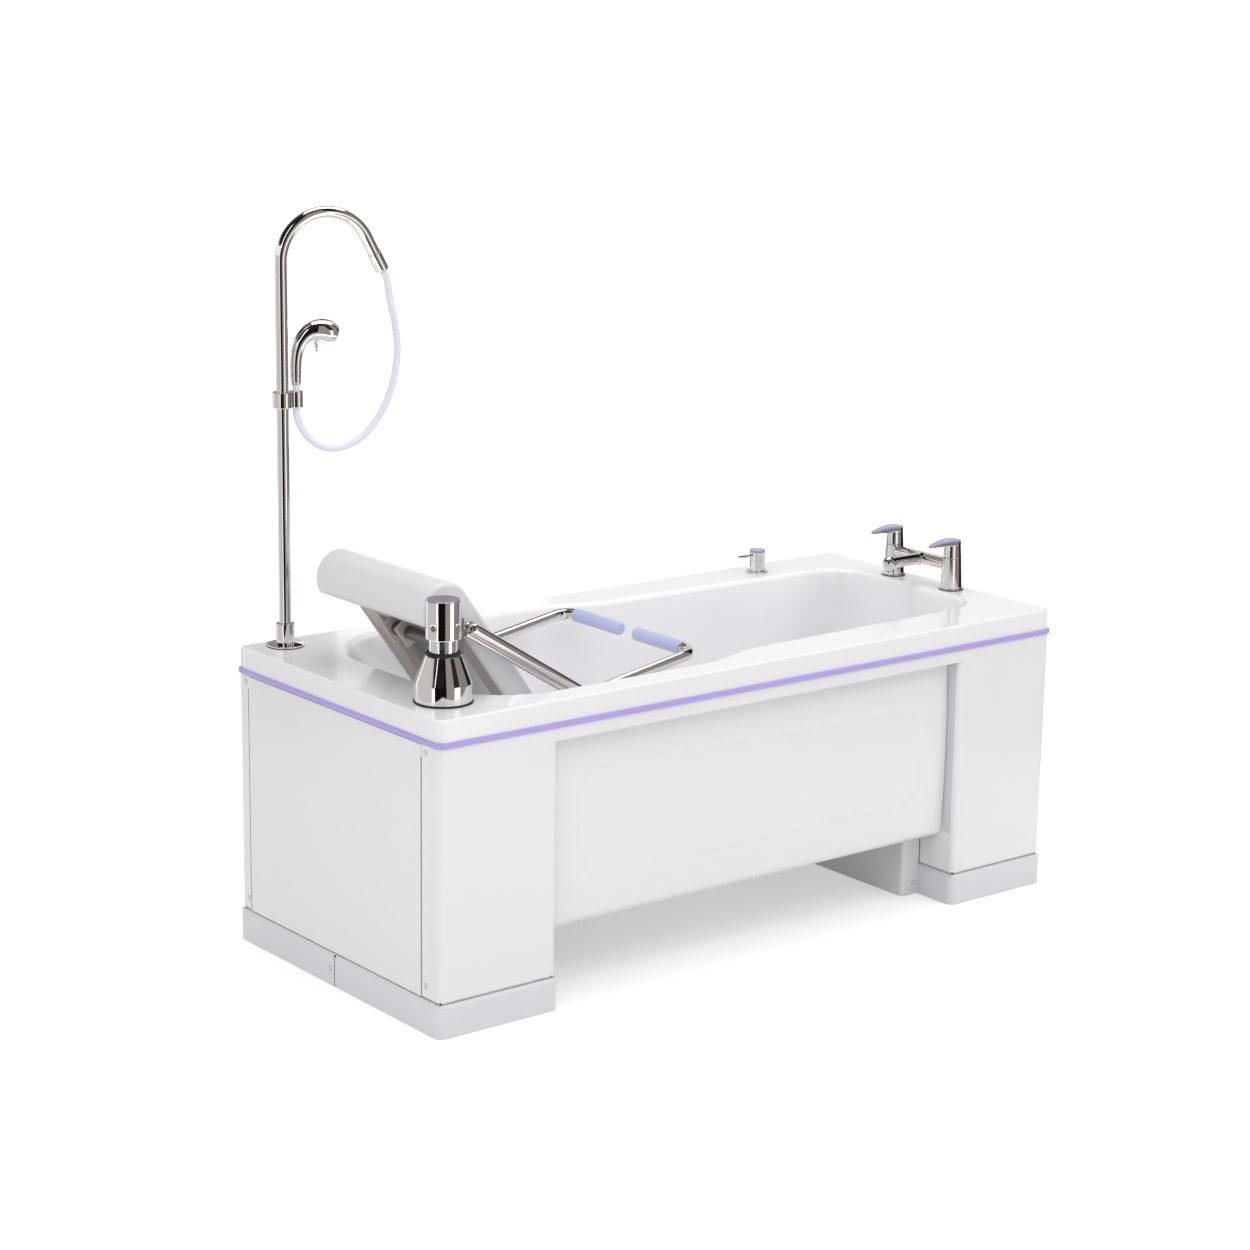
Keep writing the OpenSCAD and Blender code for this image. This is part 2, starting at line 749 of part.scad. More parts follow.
// Eight levelling feet
module levelling_feet() color(black) placed()
    for (v = [frame_side + frame_tube / 2, bath_width - frame_side - frame_tube / 2]) {
        for (u = [frame_inset + frame_tube / 2, head_pod + frame_reach - frame_tube / 2,
            foot_pod_u - frame_reach + frame_tube / 2, bath_length - frame_inset - frame_tube / 2])
            translate([u, v, 0]) levelling_foot();
    }

gasket_thick = 3;
gasket_edge = 2;
base_floor = rim_height + gasket_thick;
cone_floor = base_floor + base_straight;
seal_floor = cone_floor + cone_height;
seal_top = seal_floor + seal_height;
cap_floor = seal_top + column_show;
cap_top = cap_floor + cap_height;
guide_floor = foot_height + frame_tube + plate_thick;
column_bore = column_diameter + 2 * running_clearance;

// Moves to the lift column's centre line
module on_column() translate([column_u, column_v, 0]) children();

// Upright ring between two heights
module ring(z0, z1, outer, inner) difference() {
    translate([0, 0, z0]) cylinder(h = z1 - z0, d = outer);
    translate([0, 0, z0 - over]) cylinder(h = z1 - z0 + 2 * over, d = inner);
}

// Gasket under the column's base
module column_gasket() color(black) placed() on_column()
    ring(rim_height, base_floor, base_diameter + 2 * gasket_edge, guide_diameter + hole_clearance);

base_wall = 5;
// Hollow base with its straight foot and its cone
module column_base() color(chrome) placed() on_column() rotate_extrude() polygon([
    [column_diameter / 2 + 2, seal_floor], [cone_top / 2, seal_floor], [base_diameter / 2, cone_floor],
    [base_diameter / 2, base_floor], [base_diameter / 2 - base_wall, base_floor],
    [base_diameter / 2 - base_wall, cone_floor - 2], [column_diameter / 2 + 2, seal_floor - base_wall]]);

// Wiper seal round the column
module column_seal() color(black) placed() on_column() ring(seal_floor, seal_top, cone_top - 1, column_bore);

// Fixed tube below the deck that guides the column
module lift_guide_tube() color(steel) placed() on_column()
    ring(guide_floor, rim_height, guide_diameter, guide_bore);

bush_height = 40;
column_rest_floor = guide_floor + 8;
lower_bush = column_rest_floor + lift_travel + 12;
// Two plain bushes that the column runs in
module guide_bushes() color("#D9C27A") placed() on_column() {
    ring(rim_height - bush_height - 2, rim_height - 2, guide_bore - 0.1, column_bore);
    ring(lower_bush, lower_bush + bush_height, guide_bore - 0.1, column_bore);
}

ram_diameter = 40;
rod_diameter = 22;
ram_top = rim_height - 60;
// Body of the linear actuator
module lift_actuator() color("#3A3A3E") placed() on_column()
    ring(guide_floor, ram_top, ram_diameter, rod_diameter + 2 * running_clearance);

// Rod of the actuator, which pushes the cap
module actuator_rod() color(chrome) placed() on_column()
    translate([0, 0, guide_floor + 6]) cylinder(h = cap_floor - guide_floor - 6, d = rod_diameter);

// Lifting column, a tube that slides in the bushes
module lift_column() color(chrome) placed() on_column()
    ring(column_rest_floor, cap_floor, column_diameter, column_diameter - 2 * column_wall);

key_hole = 14;
key_depth = 12;
key_drop = 54;
// Cap of the column with a ring of key holes
module column_cap() color(chrome) placed() on_column() difference() {
    translate([0, 0, cap_floor]) cylinder(h = cap_height, d = cap_diameter);
    for (a = [0:90:270]) rotate([0, 0, a + 20])
        translate([cap_diameter / 2 - key_depth, 0, cap_top - key_drop]) rotate([0, 90, 0])
            cylinder(h = key_depth + over, d = key_hole);
}

roll_z = rim_height + roll_rise;
down_line = [cos(back_angle), -sin(back_angle)];
front_normal = [sin(back_angle), cos(back_angle)];
back_start = [roll_u, roll_z] + roll_radius * front_normal;
back_end = back_start + back_length * down_line;
knee_centre = back_end + knee_radius * front_normal;
pan_line = [cos(pan_tilt), sin(pan_tilt)];
pan_normal = [-sin(pan_tilt), cos(pan_tilt)];
pan_start = knee_centre - knee_radius * pan_normal;
pan_end = pan_start + pan_length * pan_line;
seat_near = column_v + cap_diameter / 2 + column_gap;
seat_far = bath_width - seat_near;
knee_steps = 10;

// Line of the seat's top face, moved in behind it by g
function seat_line(g, extra) = concat(
    [back_start - g * front_normal],
    arc(knee_centre[0], knee_centre[1], knee_radius + g, 270 - back_angle, 270 + pan_tilt, knee_steps),
    [pan_end + extra * pan_line - g * pan_normal]);

front_round = 26;
lip_angle = 213;
wedge = 90;

roll_centre = [roll_u, roll_z];
front_centre = pan_end - front_round * pan_normal;

// Seat's side form between two widths: back and pan, head roll and front roll
module seat_form(v0, v1) {
    along_width(v0, v1) polygon(concat(seat_line(0, 0), reversed(seat_line(cheek_depth, -front_round))));
    along_width(v0, v1) translate(roll_centre) circle(roll_radius, $fn = 96);
    along_width(v0, v1) translate(front_centre) circle(front_round);
}

// Hollow behind the seat's face and inside its rolls
module seat_hollow(v0, v1) {
    along_width(v0, v1) polygon(concat(seat_line(seat_wall, -front_round / 2),
        reversed(seat_line(cheek_depth + 20, -front_round / 2))));
    along_width(v0, v1) translate(roll_centre) circle(roll_radius - seat_wall, $fn = 96);
    along_width(v0, v1) translate(front_centre) circle(front_round - seat_wall);
    along_width(v0, v1) translate(roll_centre) polygon([[0, 0], wedge * [cos(lip_angle), sin(lip_angle)],
        1.5 * wedge * [cos(255), sin(255)], wedge * down_line]);
}

// One-piece white seat moulding, open behind
module seat_shell() color(white) placed() difference() {
    seat_form(seat_near, seat_far);
    seat_hollow(seat_near + seat_wall, seat_far - seat_wall);
}

bar_gap = cheek_depth - bar_thick - 2;
bar_v = seat_near + 37;
bar_start = 12;
cross_bar = 30;
back_cross_inset = 60;
pan_cross_start = 20;
pan_cross_end = 10;
stand_off_diameter = 24;
back_posts = [110, 430];
pan_posts = [90, 240];

// Draws in the plane of the backrest: x down the back, z out of its face
module on_back() translate([back_start[0], 0, back_start[1]]) rotate([0, back_angle, 0]) children();

// Draws in the plane of the seat pan: x towards the front
module on_pan() translate([pan_start[0], 0, pan_start[1]]) rotate([0, -pan_tilt, 0]) children();

// Line of a bent frame bar at depth g behind the seat's face
function bar_line(g) = concat(
    [back_start + bar_start * down_line - g * front_normal],
    arc(knee_centre[0], knee_centre[1], knee_radius + g, 270 - back_angle, 270 + pan_tilt, knee_steps),
    [pan_end - 2 * front_round * pan_line - g * pan_normal]);

// Cross bar of the frame from x, a little thinner than the bars that it joins
module cross_piece(x) block([x, bar_v, -bar_gap - bar_thick + 1],
    [x + cross_bar, bath_width - bar_v, -bar_gap - 1]);

// Post from the frame's bars at x to the back of the seat moulding
module stand_off(x) for (v = [bar_v, bath_width - bar_v]) translate([x, v, -bar_gap - 1])
    cylinder(h = bar_gap + 1 - seat_wall - seat_gap, d = stand_off_diameter);

// Frame of two bent flat bars with cross bars and posts
module seat_frame() color(steel) placed() {
    for (v = [bar_v, bath_width - bar_v]) along_width(v - bar_width / 2, v + bar_width / 2)
        polygon(concat(bar_line(bar_gap), reversed(bar_line(bar_gap + bar_thick))));
    on_back() {
        cross_piece(bar_start + back_cross_inset);
        cross_piece(back_length - back_cross_inset);
        for (x = back_posts) stand_off(x);
    }
    on_pan() {
        cross_piece(pan_cross_start);
        cross_piece(pan_length - 2 * front_round - cross_bar - pan_cross_end);
        for (x = pan_posts) stand_off(x);
    }
}

carry_u = column_u + 51;
carry_v = column_v + 26;
carry_z = cap_floor - 34;
carry_end = mid_v + 12;
carry_at = [carry_u, carry_z];
carry_s = (carry_at - back_start) * down_line;
carry_g = -(carry_at - back_start) * front_normal;
arm_z = cap_floor + 18;
arm_bar = 20;
arm_swing = atan2(carry_v - column_v, carry_u - column_u);
arm_run = norm([carry_v - column_v, carry_u - column_u]);

// Carries the seat: a bar from the cap, a drop bar behind it and a round tube along the seat's width
module support_arm() color("#D4D4D6") placed() difference() {
    union() {
        translate([column_u, column_v, arm_z]) rotate([0, 0, arm_swing])
            block([0, 1 - arm_bar / 2, 1 - arm_bar / 2], [arm_run, arm_bar / 2 - 1, arm_bar / 2 - 1]);
        block([carry_u - arm_bar / 2, carry_v - arm_bar / 2, carry_z - carry_diameter / 2 + 1],
            [carry_u + arm_bar / 2, carry_v + arm_bar / 2, arm_z + arm_bar / 2]);
        translate([carry_u, carry_v, carry_z]) rotate([-90, 0, 0])
            cylinder(h = carry_end - carry_v, d = carry_diameter);
    }
    post(column_u, column_v, arm_z - arm_bar, arm_z + arm_bar, cap_diameter + 0.1);
}

bracket_wall = 10;
bracket_pitch = 46;
strut_body = 22;
strut_rod = 10;
strut_from = 150;
strut_split = 300;
strut_to = back_length - back_cross_inset + cross_bar / 2;
strut_g = cheek_depth + 16;
strut_pin = 16;
strut_tail = 60;
bracket_back = 6;
bracket_half = 26;
bracket_inset = 14;
bracket_reach = 70;
nut_drop = 9;
nut_across = 14;

// Clamp that joins the carrying tube to the seat frame, with the strut below it
module seat_bracket() color(steel) placed() {
    back = -bar_gap - bar_thick + 1 - seat_gap;
    clamp_end = carry_end - bracket_inset;
    difference() {
        on_back() {
            for (k = [0, 1]) block([carry_s - bracket_half, clamp_end - bracket_wall - k * bracket_pitch,
                -carry_g - carry_diameter / 2 - bracket_back],
                [carry_s + bracket_half, clamp_end - k * bracket_pitch, back]);
            block([carry_s - bracket_half, clamp_end - bracket_wall - bracket_pitch, back - bracket_back],
                [carry_s + bracket_reach, clamp_end, back]);
        }
        translate([carry_u, 0, carry_z]) rotate([-90, 0, 0])
            cylinder(h = bath_width, d = carry_diameter + 0.1);
    }
    on_back() for (x = [bracket_reach - 30, bracket_reach - 10])
        translate([carry_s + x, clamp_end - (bracket_wall + bracket_pitch) / 2,
            back - bracket_back - nut_drop]) cylinder(h = nut_drop, d = nut_across, $fn = 6);
    on_back() translate([0, mid_v + 60, -strut_g]) {
        translate([strut_from, 0, 0]) rotate([0, 90, 0])
            cylinder(h = strut_split - strut_from, d = strut_body);
        translate([strut_split, 0, 0]) rotate([0, 90, 0]) cylinder(h = strut_to - strut_split, d = strut_rod);
        block([strut_to - strut_pin / 2, -strut_pin / 2, -strut_pin / 2],
            [strut_to + strut_pin / 2, strut_pin / 2, strut_g + back]);
        block([strut_from - strut_tail, -strut_pin / 2, -strut_pin / 2],
            [strut_from + 2, strut_pin / 2, strut_g + back]);
    }
}

pivot_s = 61;
pivot_g = 42;
pivot_at = back_start + pivot_s * down_line - pivot_g * front_normal;
boss_diameter = 28;
pin_diameter = 12;
eye_half = arm_diameter / 2 + 1;
arm_v = seat_near - arm_gap - eye_half;

// Pivot boss and pin standing on the near cheek
module pivot() {
    translate([pivot_at[0], seat_near - arm_gap, pivot_at[1]]) rotate([-90, 0, 0])
        cylinder(h = arm_gap, d = boss_diameter);
    translate([pivot_at[0], arm_v - eye_half + 4, pivot_at[1]]) rotate([-90, 0, 0])
        cylinder(h = arm_diameter / 2 + eye_half, d = pin_diameter);
}

// Both pivots of the armrests
module armrest_pivots() color(chrome) placed() {
    pivot();
    far_side() pivot();
}

arm_steps = [
    [arm_rear, arm_drop_angle + arm_rise_angle, 0],
    [arm_front, 90, -90],
    [grip_length + 4, 0, 0]];

// Moves to the start of the near armrest's tube, pointing down its rear part
module on_armrest() translate([pivot_at[0], arm_v, pivot_at[1]])
    rotate([0, 90 + arm_drop_angle, 0]) rotate([0, 0, 180]) children();

// Moves children to the far end of a bent tube
module tube_end(steps, bend, i = 0) translate([0, 0, steps[i][0]])
    if (i + 1 < len(steps)) {
        turn = steps[i][1];
        rotate([0, 0, steps[i][2]]) translate([bend * (1 - cos(turn)), 0, bend * sin(turn)])
            rotate([0, turn, 0]) tube_end(steps, bend, i + 1) children();
    } else children();

brace_diameter = 14;
brace_start = 17;
brace_overlap = 1;
// Bent armrest tube with its eye and the thinner tube welded under its rear part
module armrest() difference() {
    union() {
        on_armrest() bent_tube(arm_steps, arm_diameter, arm_bend);
        on_armrest() translate([brace_overlap - (arm_diameter + brace_diameter) / 2, 0, -brace_start])
            cylinder(h = arm_rear + brace_start, d = brace_diameter);
        translate([pivot_at[0], arm_v - eye_half, pivot_at[1]]) rotate([-90, 0, 0])
            cylinder(h = 2 * eye_half - seat_gap, d = boss_diameter);
    }
    translate([pivot_at[0], arm_v - eye_half + 3, pivot_at[1]]) rotate([-90, 0, 0])
        cylinder(h = arm_diameter + over, d = pin_diameter + 2 * running_clearance);
}

module near_armrest() color(chrome) placed() armrest();
module far_armrest() color(chrome) placed() far_side() armrest();

// Sleeve with a rounded end pushed over the tube
module grip() {
    outer = arm_diameter / 2 + grip_wall;
    inner = arm_diameter / 2 + 0.05;
    on_armrest() tube_end(arm_steps, arm_bend) rotate_extrude() polygon(concat(
        [[0, seat_gap], [inner, seat_gap], [inner, -grip_length], [outer - 1, -grip_length],
            [outer, 1 - grip_length]],
        arc(outer - 7, 0, 7, 0, 90, 6), [[0, 7]]));
}

module near_grip() color(grip_blue) placed() grip();
module far_grip() color(grip_blue) placed() far_side() grip();

waste_flange_diameter = 70;
waste_lip = 2.5;
waste_drop = 46;
plug_stem = 8;
spoke = 3;

// Moves to the waste's centre line on the basin floor
module on_waste() translate([waste_u, mid_v, basin_floor]) children();

// Flange of the waste with its tail and the spokes that guide the plug
module waste_flange() color(chrome) placed() on_waste() {
    difference() {
        union() {
            cylinder(h = waste_lip, d1 = waste_flange_diameter, d2 = waste_flange_diameter - 4);
            translate([0, 0, -waste_drop]) cylinder(h = waste_drop, d = waste_tail);
        }
        translate([0, 0, -waste_drop - over]) cylinder(h = waste_drop + 2 * over + waste_lip, d = waste_bore);
    }
    difference() {
        translate([0, 0, -waste_drop / 2]) union() {
            cylinder(h = 12, d = plug_stem + 6);
            for (a = [0, 90]) rotate([0, 0, a])
                translate([-waste_bore / 2 - 1, -spoke / 2, 0]) cube([waste_bore + 2, spoke, 6]);
        }
        translate([0, 0, -waste_drop]) cylinder(h = waste_drop, d = plug_stem + 2 * running_clearance);
    }
}

plug_rise = 6;
// Plug that lifts in the waste, with its stem
module waste_plug() color(chrome) placed() on_waste() {
    translate([0, 0, waste_lip + seat_gap]) {
        cylinder(h = 3, d = plug_diameter);
        translate([0, 0, 3]) cylinder(h = plug_rise - 3, d1 = plug_diameter, d2 = plug_diameter - 20);
        translate([0, 0, -waste_drop / 2 - plug_lift - 8])
            cylinder(h = waste_drop / 2 + plug_lift + 9, d = plug_stem);
    }
}

trap_diameter = 76;
trap_height = 78;
outlet_bore = 36;
outlet_wall = 2.5;
outlet_length = 90;
trap_wall = 3;

// Bottle of the trap with its outlet towards the foot end
module waste_trap() color("#E6E6E6") placed()
    translate([waste_u, mid_v, basin_floor - waste_drop - seat_gap]) {
    outlet_z = -trap_height / 2;
    difference() {
        union() {
            translate([0, 0, -trap_height]) cylinder(h = trap_height, d = trap_diameter);
            translate([0, 0, outlet_z]) rotate([0, 90, 0])
                cylinder(h = trap_diameter / 2 + outlet_length, d = outlet_bore + 2 * outlet_wall);
        }
        translate([0, 0, trap_wall - trap_height])
            cylinder(h = trap_height - 2 * trap_wall, d = trap_diameter - 2 * trap_wall);
        translate([0, 0, -2 * trap_wall]) cylinder(h = 3 * trap_wall, d = waste_bore);
        translate([0, 0, outlet_z]) rotate([0, 90, 0])
            cylinder(h = trap_diameter + outlet_length, d = outlet_bore);
    }
}

// Moves to the riser's own line, x along the plane of its crook
module on_riser() translate([riser_u, riser_v, 0]) rotate([0, 0, -riser_turn]) children();

flange_thick = 5;
socket_depth = socket_height - 8;
// Base of the riser: a flange with a socket
module riser_base() color(chrome) placed() on_riser() difference() {
    union() {
        translate([0, 0, rim_height]) cylinder(h = flange_thick, d = riser_flange);
        translate([0, 0, rim_height + flange_thick])
            cylinder(h = 3, d1 = riser_flange - 4, d2 = socket_diameter + 6);
        translate([0, 0, rim_height]) cylinder(h = socket_height, d = socket_diameter);
    }
    translate([0, 0, rim_height + socket_height - socket_depth])
        cylinder(h = socket_depth + over, d = pole_diameter + 2 * running_clearance);
}

pole_floor = rim_height + socket_height - socket_depth + seat_gap;
crook_floor = rim_height + pole_height;
// Riser pole with its crook
module riser_pole() color(chrome) placed() on_riser() translate([0, 0, pole_floor])
    bent_tube([[crook_floor - pole_floor, crook_angle, 0], [crook_tail, 0, 0]], pole_diameter, crook_radius);

// Moves to the end of the crook, pointing out of it
module on_crook_end() on_riser() translate([crook_radius * (1 - cos(crook_angle)), 0,
    crook_floor + crook_radius * sin(crook_angle)]) rotate([0, crook_angle, 0])
    translate([0, 0, crook_tail + 0.05]) children();

// Ferrule between the crook and the hose
module hose_ferrule() color(chrome) placed() on_crook_end() difference() {
    union() {
        cylinder(h = ferrule_length - 2, d = ferrule_diameter);
        translate([0, 0, ferrule_length - 2])
            cylinder(h = 2, d1 = ferrule_diameter, d2 = ferrule_diameter - 4);
    }
    translate([0, 0, ferrule_length - 12]) cylinder(h = 13, d = hose_diameter + 1);
}

slider_floor = rim_height + slider_rise;
clamp_diameter = 42;
holder_diameter = 30;
// Clamp on the pole with the holder that the hose runs through
module slider_clamp() color(chrome) placed() on_riser() difference() {
    union() {
        ring(slider_floor, slider_floor + slider_height, clamp_diameter,
            pole_diameter + 2 * running_clearance);
        translate([slider_reach, 0, slider_floor]) cylinder(h = slider_height, d = holder_diameter);
        block([pole_diameter / 2 + 2, -9, slider_floor], [slider_reach, 9, slider_floor + slider_height]);
    }
    translate([0, 0, slider_floor - over])
        cylinder(h = slider_height + 2 * over, d = pole_diameter + 2 * running_clearance);
    translate([slider_reach, 0, slider_floor - over])
        cylinder(h = slider_height + 2 * over, d = hose_diameter + 2);
}

nut_floor = slider_floor + slider_height + 14;
nut_height = 20;
nut_diameter = 23;
// Nut between the hose and the handset
module handset_nut() color(chrome) placed() on_riser() translate([slider_reach, 0, nut_floor])
    difference() {
        cylinder(h = nut_height, d1 = nut_diameter - 2, d2 = nut_diameter);
        translate([0, 0, -over]) cylinder(h = 6 + over, d = hose_diameter + 0.2);
    }

// Centre line of the handset from its nut to its face
handset_floor = nut_floor + nut_height + seat_gap;
handset_path = smooth([
    [slider_reach, handset_floor], [slider_reach + 0.5, handset_floor + 25],
    [slider_reach + 4, handset_floor + 50], [slider_reach + 14, handset_floor + 72],
    [slider_reach + 31, handset_floor + 87], [slider_reach + 52, handset_floor + 91],
    [slider_reach + 72, handset_floor + 87], [slider_reach + 84, handset_floor + 82]], 3);
handset_radii_points = [[11.5, 0], [12, 0], [13, 0], [15.5, 0], [19.5, 0], [24, 0], [25.5, 0], [22, 0]];
handset_radii = [for (p = smooth(handset_radii_points, 3)) p[0]];
// Curved body of the handset
module handset_body() color(chrome) placed() on_riser() swept(handset_path, handset_radii, 24);

face_at = handset_path[len(handset_path) - 1];
face_dip = -heading(handset_path, len(handset_path) - 1);
face_thick = 4;
face_diameter = 40;
nozzle_circle = 26;
nozzles = 10;
// Spray face with its ring of nozzles
module handset_face() color("#B8BAC4") placed() on_riser() translate([face_at[0], 0, face_at[1]])
    rotate([0, 90 + face_dip, 0]) {
        cylinder(h = face_thick, d1 = face_diameter, d2 = face_diameter - 4);
        for (i = [0:nozzles - 1]) rotate([0, 0, 360 * i / nozzles])
            translate([nozzle_circle / 2, 0, face_thick - 0.5]) cylinder(h = 1.5, d = 3);
    }

mode_at = [slider_reach + 44, handset_floor + 66];
mode_tilt = 12;
mode_stem = 13;
mode_seat = 1;
mode_paddle = [4, 10, 9];
// Small selector under the handset: a round stem with a flat paddle
module mode_lever() color(chrome) placed() on_riser()
    translate([mode_at[0], 0, mode_at[1]]) rotate([0, -mode_tilt, 0]) {
        translate([0, 0, -mode_stem]) cylinder(h = mode_stem + mode_seat, d = 7);
        translate([-mode_paddle[0] / 2, -mode_paddle[1] / 2, -mode_stem - 6]) cube(mode_paddle);
    }

hose_end = ferrule_length - 12;
crook_end = [crook_radius * (1 - cos(crook_angle)), crook_floor + crook_radius * sin(crook_angle)]
    + (crook_tail + hose_end + 0.3) * [sin(crook_angle), cos(crook_angle)];
hose_out = [sin(crook_angle), cos(crook_angle)];
// Route of the hose in the plane of the crook, from the ferrule to the handset's nut
hose_route = [
    crook_end, crook_end + 14 * hose_out, crook_end + 30 * hose_out,
    [241, 1390], [252, 1340], [257, 1286], [252, 1236], [238, 1186],
    [215, 1142], [184, 1106], [150, 1086], [116, 1079], [82, 1086], [54, 1108], [36, 1138], [30, 1166],
    [slider_reach, slider_floor + slider_height], [slider_reach, nut_floor + 5]];
hose_path = smooth(hose_route, 4);
// Shower hose
module shower_hose() color("#E8E6F6") placed() on_riser()
    swept(hose_path, [for (p = hose_path) hose_diameter / 2], 12);

tail_drop = 62;
back_nut = 40;
back_nut_thick = 8;
// Tails of the tap, the riser and the valve below the deck
module deck_tails() color("#C9A24B") placed()
    for (p = [[tap_u, tap_vs[0]], [tap_u, tap_vs[1]], [riser_u, riser_v], [valve_u, valve_v]])
        translate([p[0], p[1], 0]) {
            post(0, 0, deck_under - tail_drop, rim_height - 0.1, tail_diameter - 4);
            translate([0, 0, deck_under - seat_gap - back_nut_thick])
                cylinder(h = back_nut_thick, d = back_nut, $fn = 6);
        }

tap_base = rim_height + 4;
// Flanges between the tap's pillars and the deck
module tap_flanges() color(chrome) placed() for (v = tap_vs) translate([tap_u, v, rim_height]) {
    cylinder(h = 2.5, d = tap_flange);
    translate([0, 0, 2.5]) cylinder(h = 1.5, d1 = tap_flange, d2 = tap_flange - 3);
}

spout_boss = bridge_diameter / 2 + 5;
// Two tapered pillars with the bridge between them and the boss of the spout
module tap_body() color(chrome) placed() {
    for (v = tap_vs) translate([tap_u, v, tap_base])
        cylinder(h = pillar_height, d1 = pillar_foot, d2 = pillar_top, $fn = 64);
    translate([tap_u, tap_vs[0], rim_height + bridge_rise]) rotate([-90, 0, 0])
        cylinder(h = tap_centres, d = bridge_diameter);
    translate([tap_u - spout_boss, mid_v, rim_height + bridge_rise]) rotate([0, 90, 0])
        cylinder(h = spout_boss, d = spout_diameter + 4);
}

spout_ball = 34;
outlet_diameter = 22;
outlet_drop = 25;
// Straight spout with a round elbow and a short outlet that looks down
module tap_spout() color(chrome) placed() translate([tap_u, mid_v, rim_height + bridge_rise]) difference() {
    union() {
        translate([-spout_reach, 0, 0]) rotate([0, 90, 0])
            cylinder(h = spout_reach - spout_boss - 0.1, d = spout_diameter);
        translate([-spout_reach, 0, 0]) sphere(d = spout_ball);
        translate([-spout_reach, 0, -outlet_drop]) cylinder(h = outlet_drop, d = outlet_diameter);
    }
    translate([-spout_reach, 0, -outlet_drop - over]) cylinder(h = 8, d = outlet_diameter - 5);
}

handle_floor = tap_base + pillar_height + seat_gap;
handle_back = 20;
blade_tip = 4;
blade_root = 17;
lever_tip_width = 12;
crest_u = -10;
crest_radius = 260;
blade_drop = pow(lever_reach + crest_u, 2) / (2 * crest_radius);

// Plan of the lever blade, drawn in by g
module blade_plan(g) polygon(concat(
    arc(0, 0, lever_width / 2 + 3 - g, -90, 90, 10),
    arc(-lever_reach + lever_tip_width / 2, 0, lever_tip_width / 2 - g, 90, 270, 10)));

// Round form whose top is the lever's arched face, raised by g
module crest(g) translate([crest_u, 0, handle_height - crest_radius]) rotate([90, 0, 0])
    cylinder(h = 2 * lever_width, r = crest_radius + g, center = true, $fn = 360);

// Tap handle with its lever, turning on the pillar's centre line
module tap_handle() {
    top = handle_height;
    cylinder(h = top - blade_root / 2, d1 = pillar_top, d2 = pillar_top - 5, $fn = 64);
    intersection() {
        upright(0, top + over) blade_plan(0);
        along_width(-lever_width, lever_width) polygon([
            [handle_back, top + over], [-lever_reach, top + over],
            [-lever_reach, top - blade_drop - blade_tip],
            [-pillar_top / 2, top - blade_root], [handle_back, top - blade_root]]);
        crest(0);
    }
}

insert_thick = 1.6;
insert_inset = 2.5;
insert_lift = 0.06;
// Coloured plate lying on the lever's arched top
module handle_insert() difference() {
    intersection() {
        upright(handle_height - blade_root, handle_height + 2 * insert_thick) blade_plan(insert_inset);
        crest(insert_lift + insert_thick);
    }
    crest(insert_lift);
}

module near_tap_handle() color(chrome) placed() translate([tap_u, tap_vs[0], handle_floor])
    tap_handle();
module far_tap_handle() color(chrome) placed() translate([tap_u, tap_vs[1], handle_floor])
    tap_handle();
module near_handle_insert() color(lilac) placed() translate([tap_u, tap_vs[0], handle_floor])
    handle_insert();
module far_handle_insert() color(lilac) placed() translate([tap_u, tap_vs[1], handle_floor])
    handle_insert();

valve_flange = 53;
valve_flange_thick = 5;
flange_rim = 2;
flange_step = 3;
valve_rod_rise = 2;
sleeve_height = 21;
valve_cap_diameter = 39;
valve_cap_height = 4.5;
valve_cap_edge = 1.5;
valve_rod = 6;
// Moves to the valve's centre line on the deck
module on_valve() translate([valve_u, valve_v, rim_height]) children();

// Fixed body of the valve on its grooved flange
module valve_body() color(chrome) placed() on_valve() {
    cylinder(h = flange_rim, d = valve_flange);
    translate([0, 0, flange_rim]) cylinder(h = flange_step - flange_rim, d = valve_flange - 3);
    translate([0, 0, flange_step]) cylinder(h = valve_flange_thick - flange_step, d = valve_flange - 1);
    translate([0, 0, valve_flange_thick]) cylinder(h = valve_height - valve_flange_thick, d = valve_diameter);
}

// Turning sleeve with a thin lever that rises slightly towards its tip
module valve_lever() color(chrome) placed() on_valve() translate([0, 0, valve_height + seat_gap]) {
    cylinder(h = sleeve_height, d = valve_diameter);
    translate([0, 0, sleeve_height / 2]) rotate([0, valve_rod_rise - 90, 0])
        cylinder(h = valve_diameter / 2 + valve_lever_length, d = valve_rod);
}

// Coloured cap of the valve with a chamfered edge
module valve_cap() color(lilac) placed() on_valve()
    translate([0, 0, valve_height + 2 * seat_gap + sleeve_height]) {
        cylinder(h = valve_cap_height - valve_cap_edge, d = valve_cap_diameter);
        translate([0, 0, valve_cap_height - valve_cap_edge])
            cylinder(h = valve_cap_edge, d1 = valve_cap_diameter,
                d2 = valve_cap_diameter - 3 * valve_cap_edge);
    }

tub_shell();
bumper_trim();
near_apron();
far_apron();
near_tub_panel();
far_tub_panel();
head_end_panel();
foot_end_panel();
cover_screws();
head_plinth_near();
head_plinth_far();
foot_plinth_near();
foot_plinth_far();
head_kick_cover();
foot_kick_cover();
head_frame();
foot_frame();
tub_rails();
levelling_feet();
column_gasket();
column_base();
column_seal();
lift_guide_tube();
guide_bushes();
lift_actuator();
actuator_rod();
lift_column();
column_cap();
support_arm();
seat_frame();
seat_bracket();
seat_shell();
armrest_pivots();
near_armrest();
near_grip();
far_armrest();
far_grip();
waste_flange();
waste_plug();
waste_trap();
riser_base();
riser_pole();
hose_ferrule();
slider_clamp();
handset_body();
handset_face();
handset_nut();
mode_lever();
shower_hose();
deck_tails();
tap_flanges();
tap_body();
tap_spout();
near_tap_handle();
far_tap_handle();
near_handle_insert();
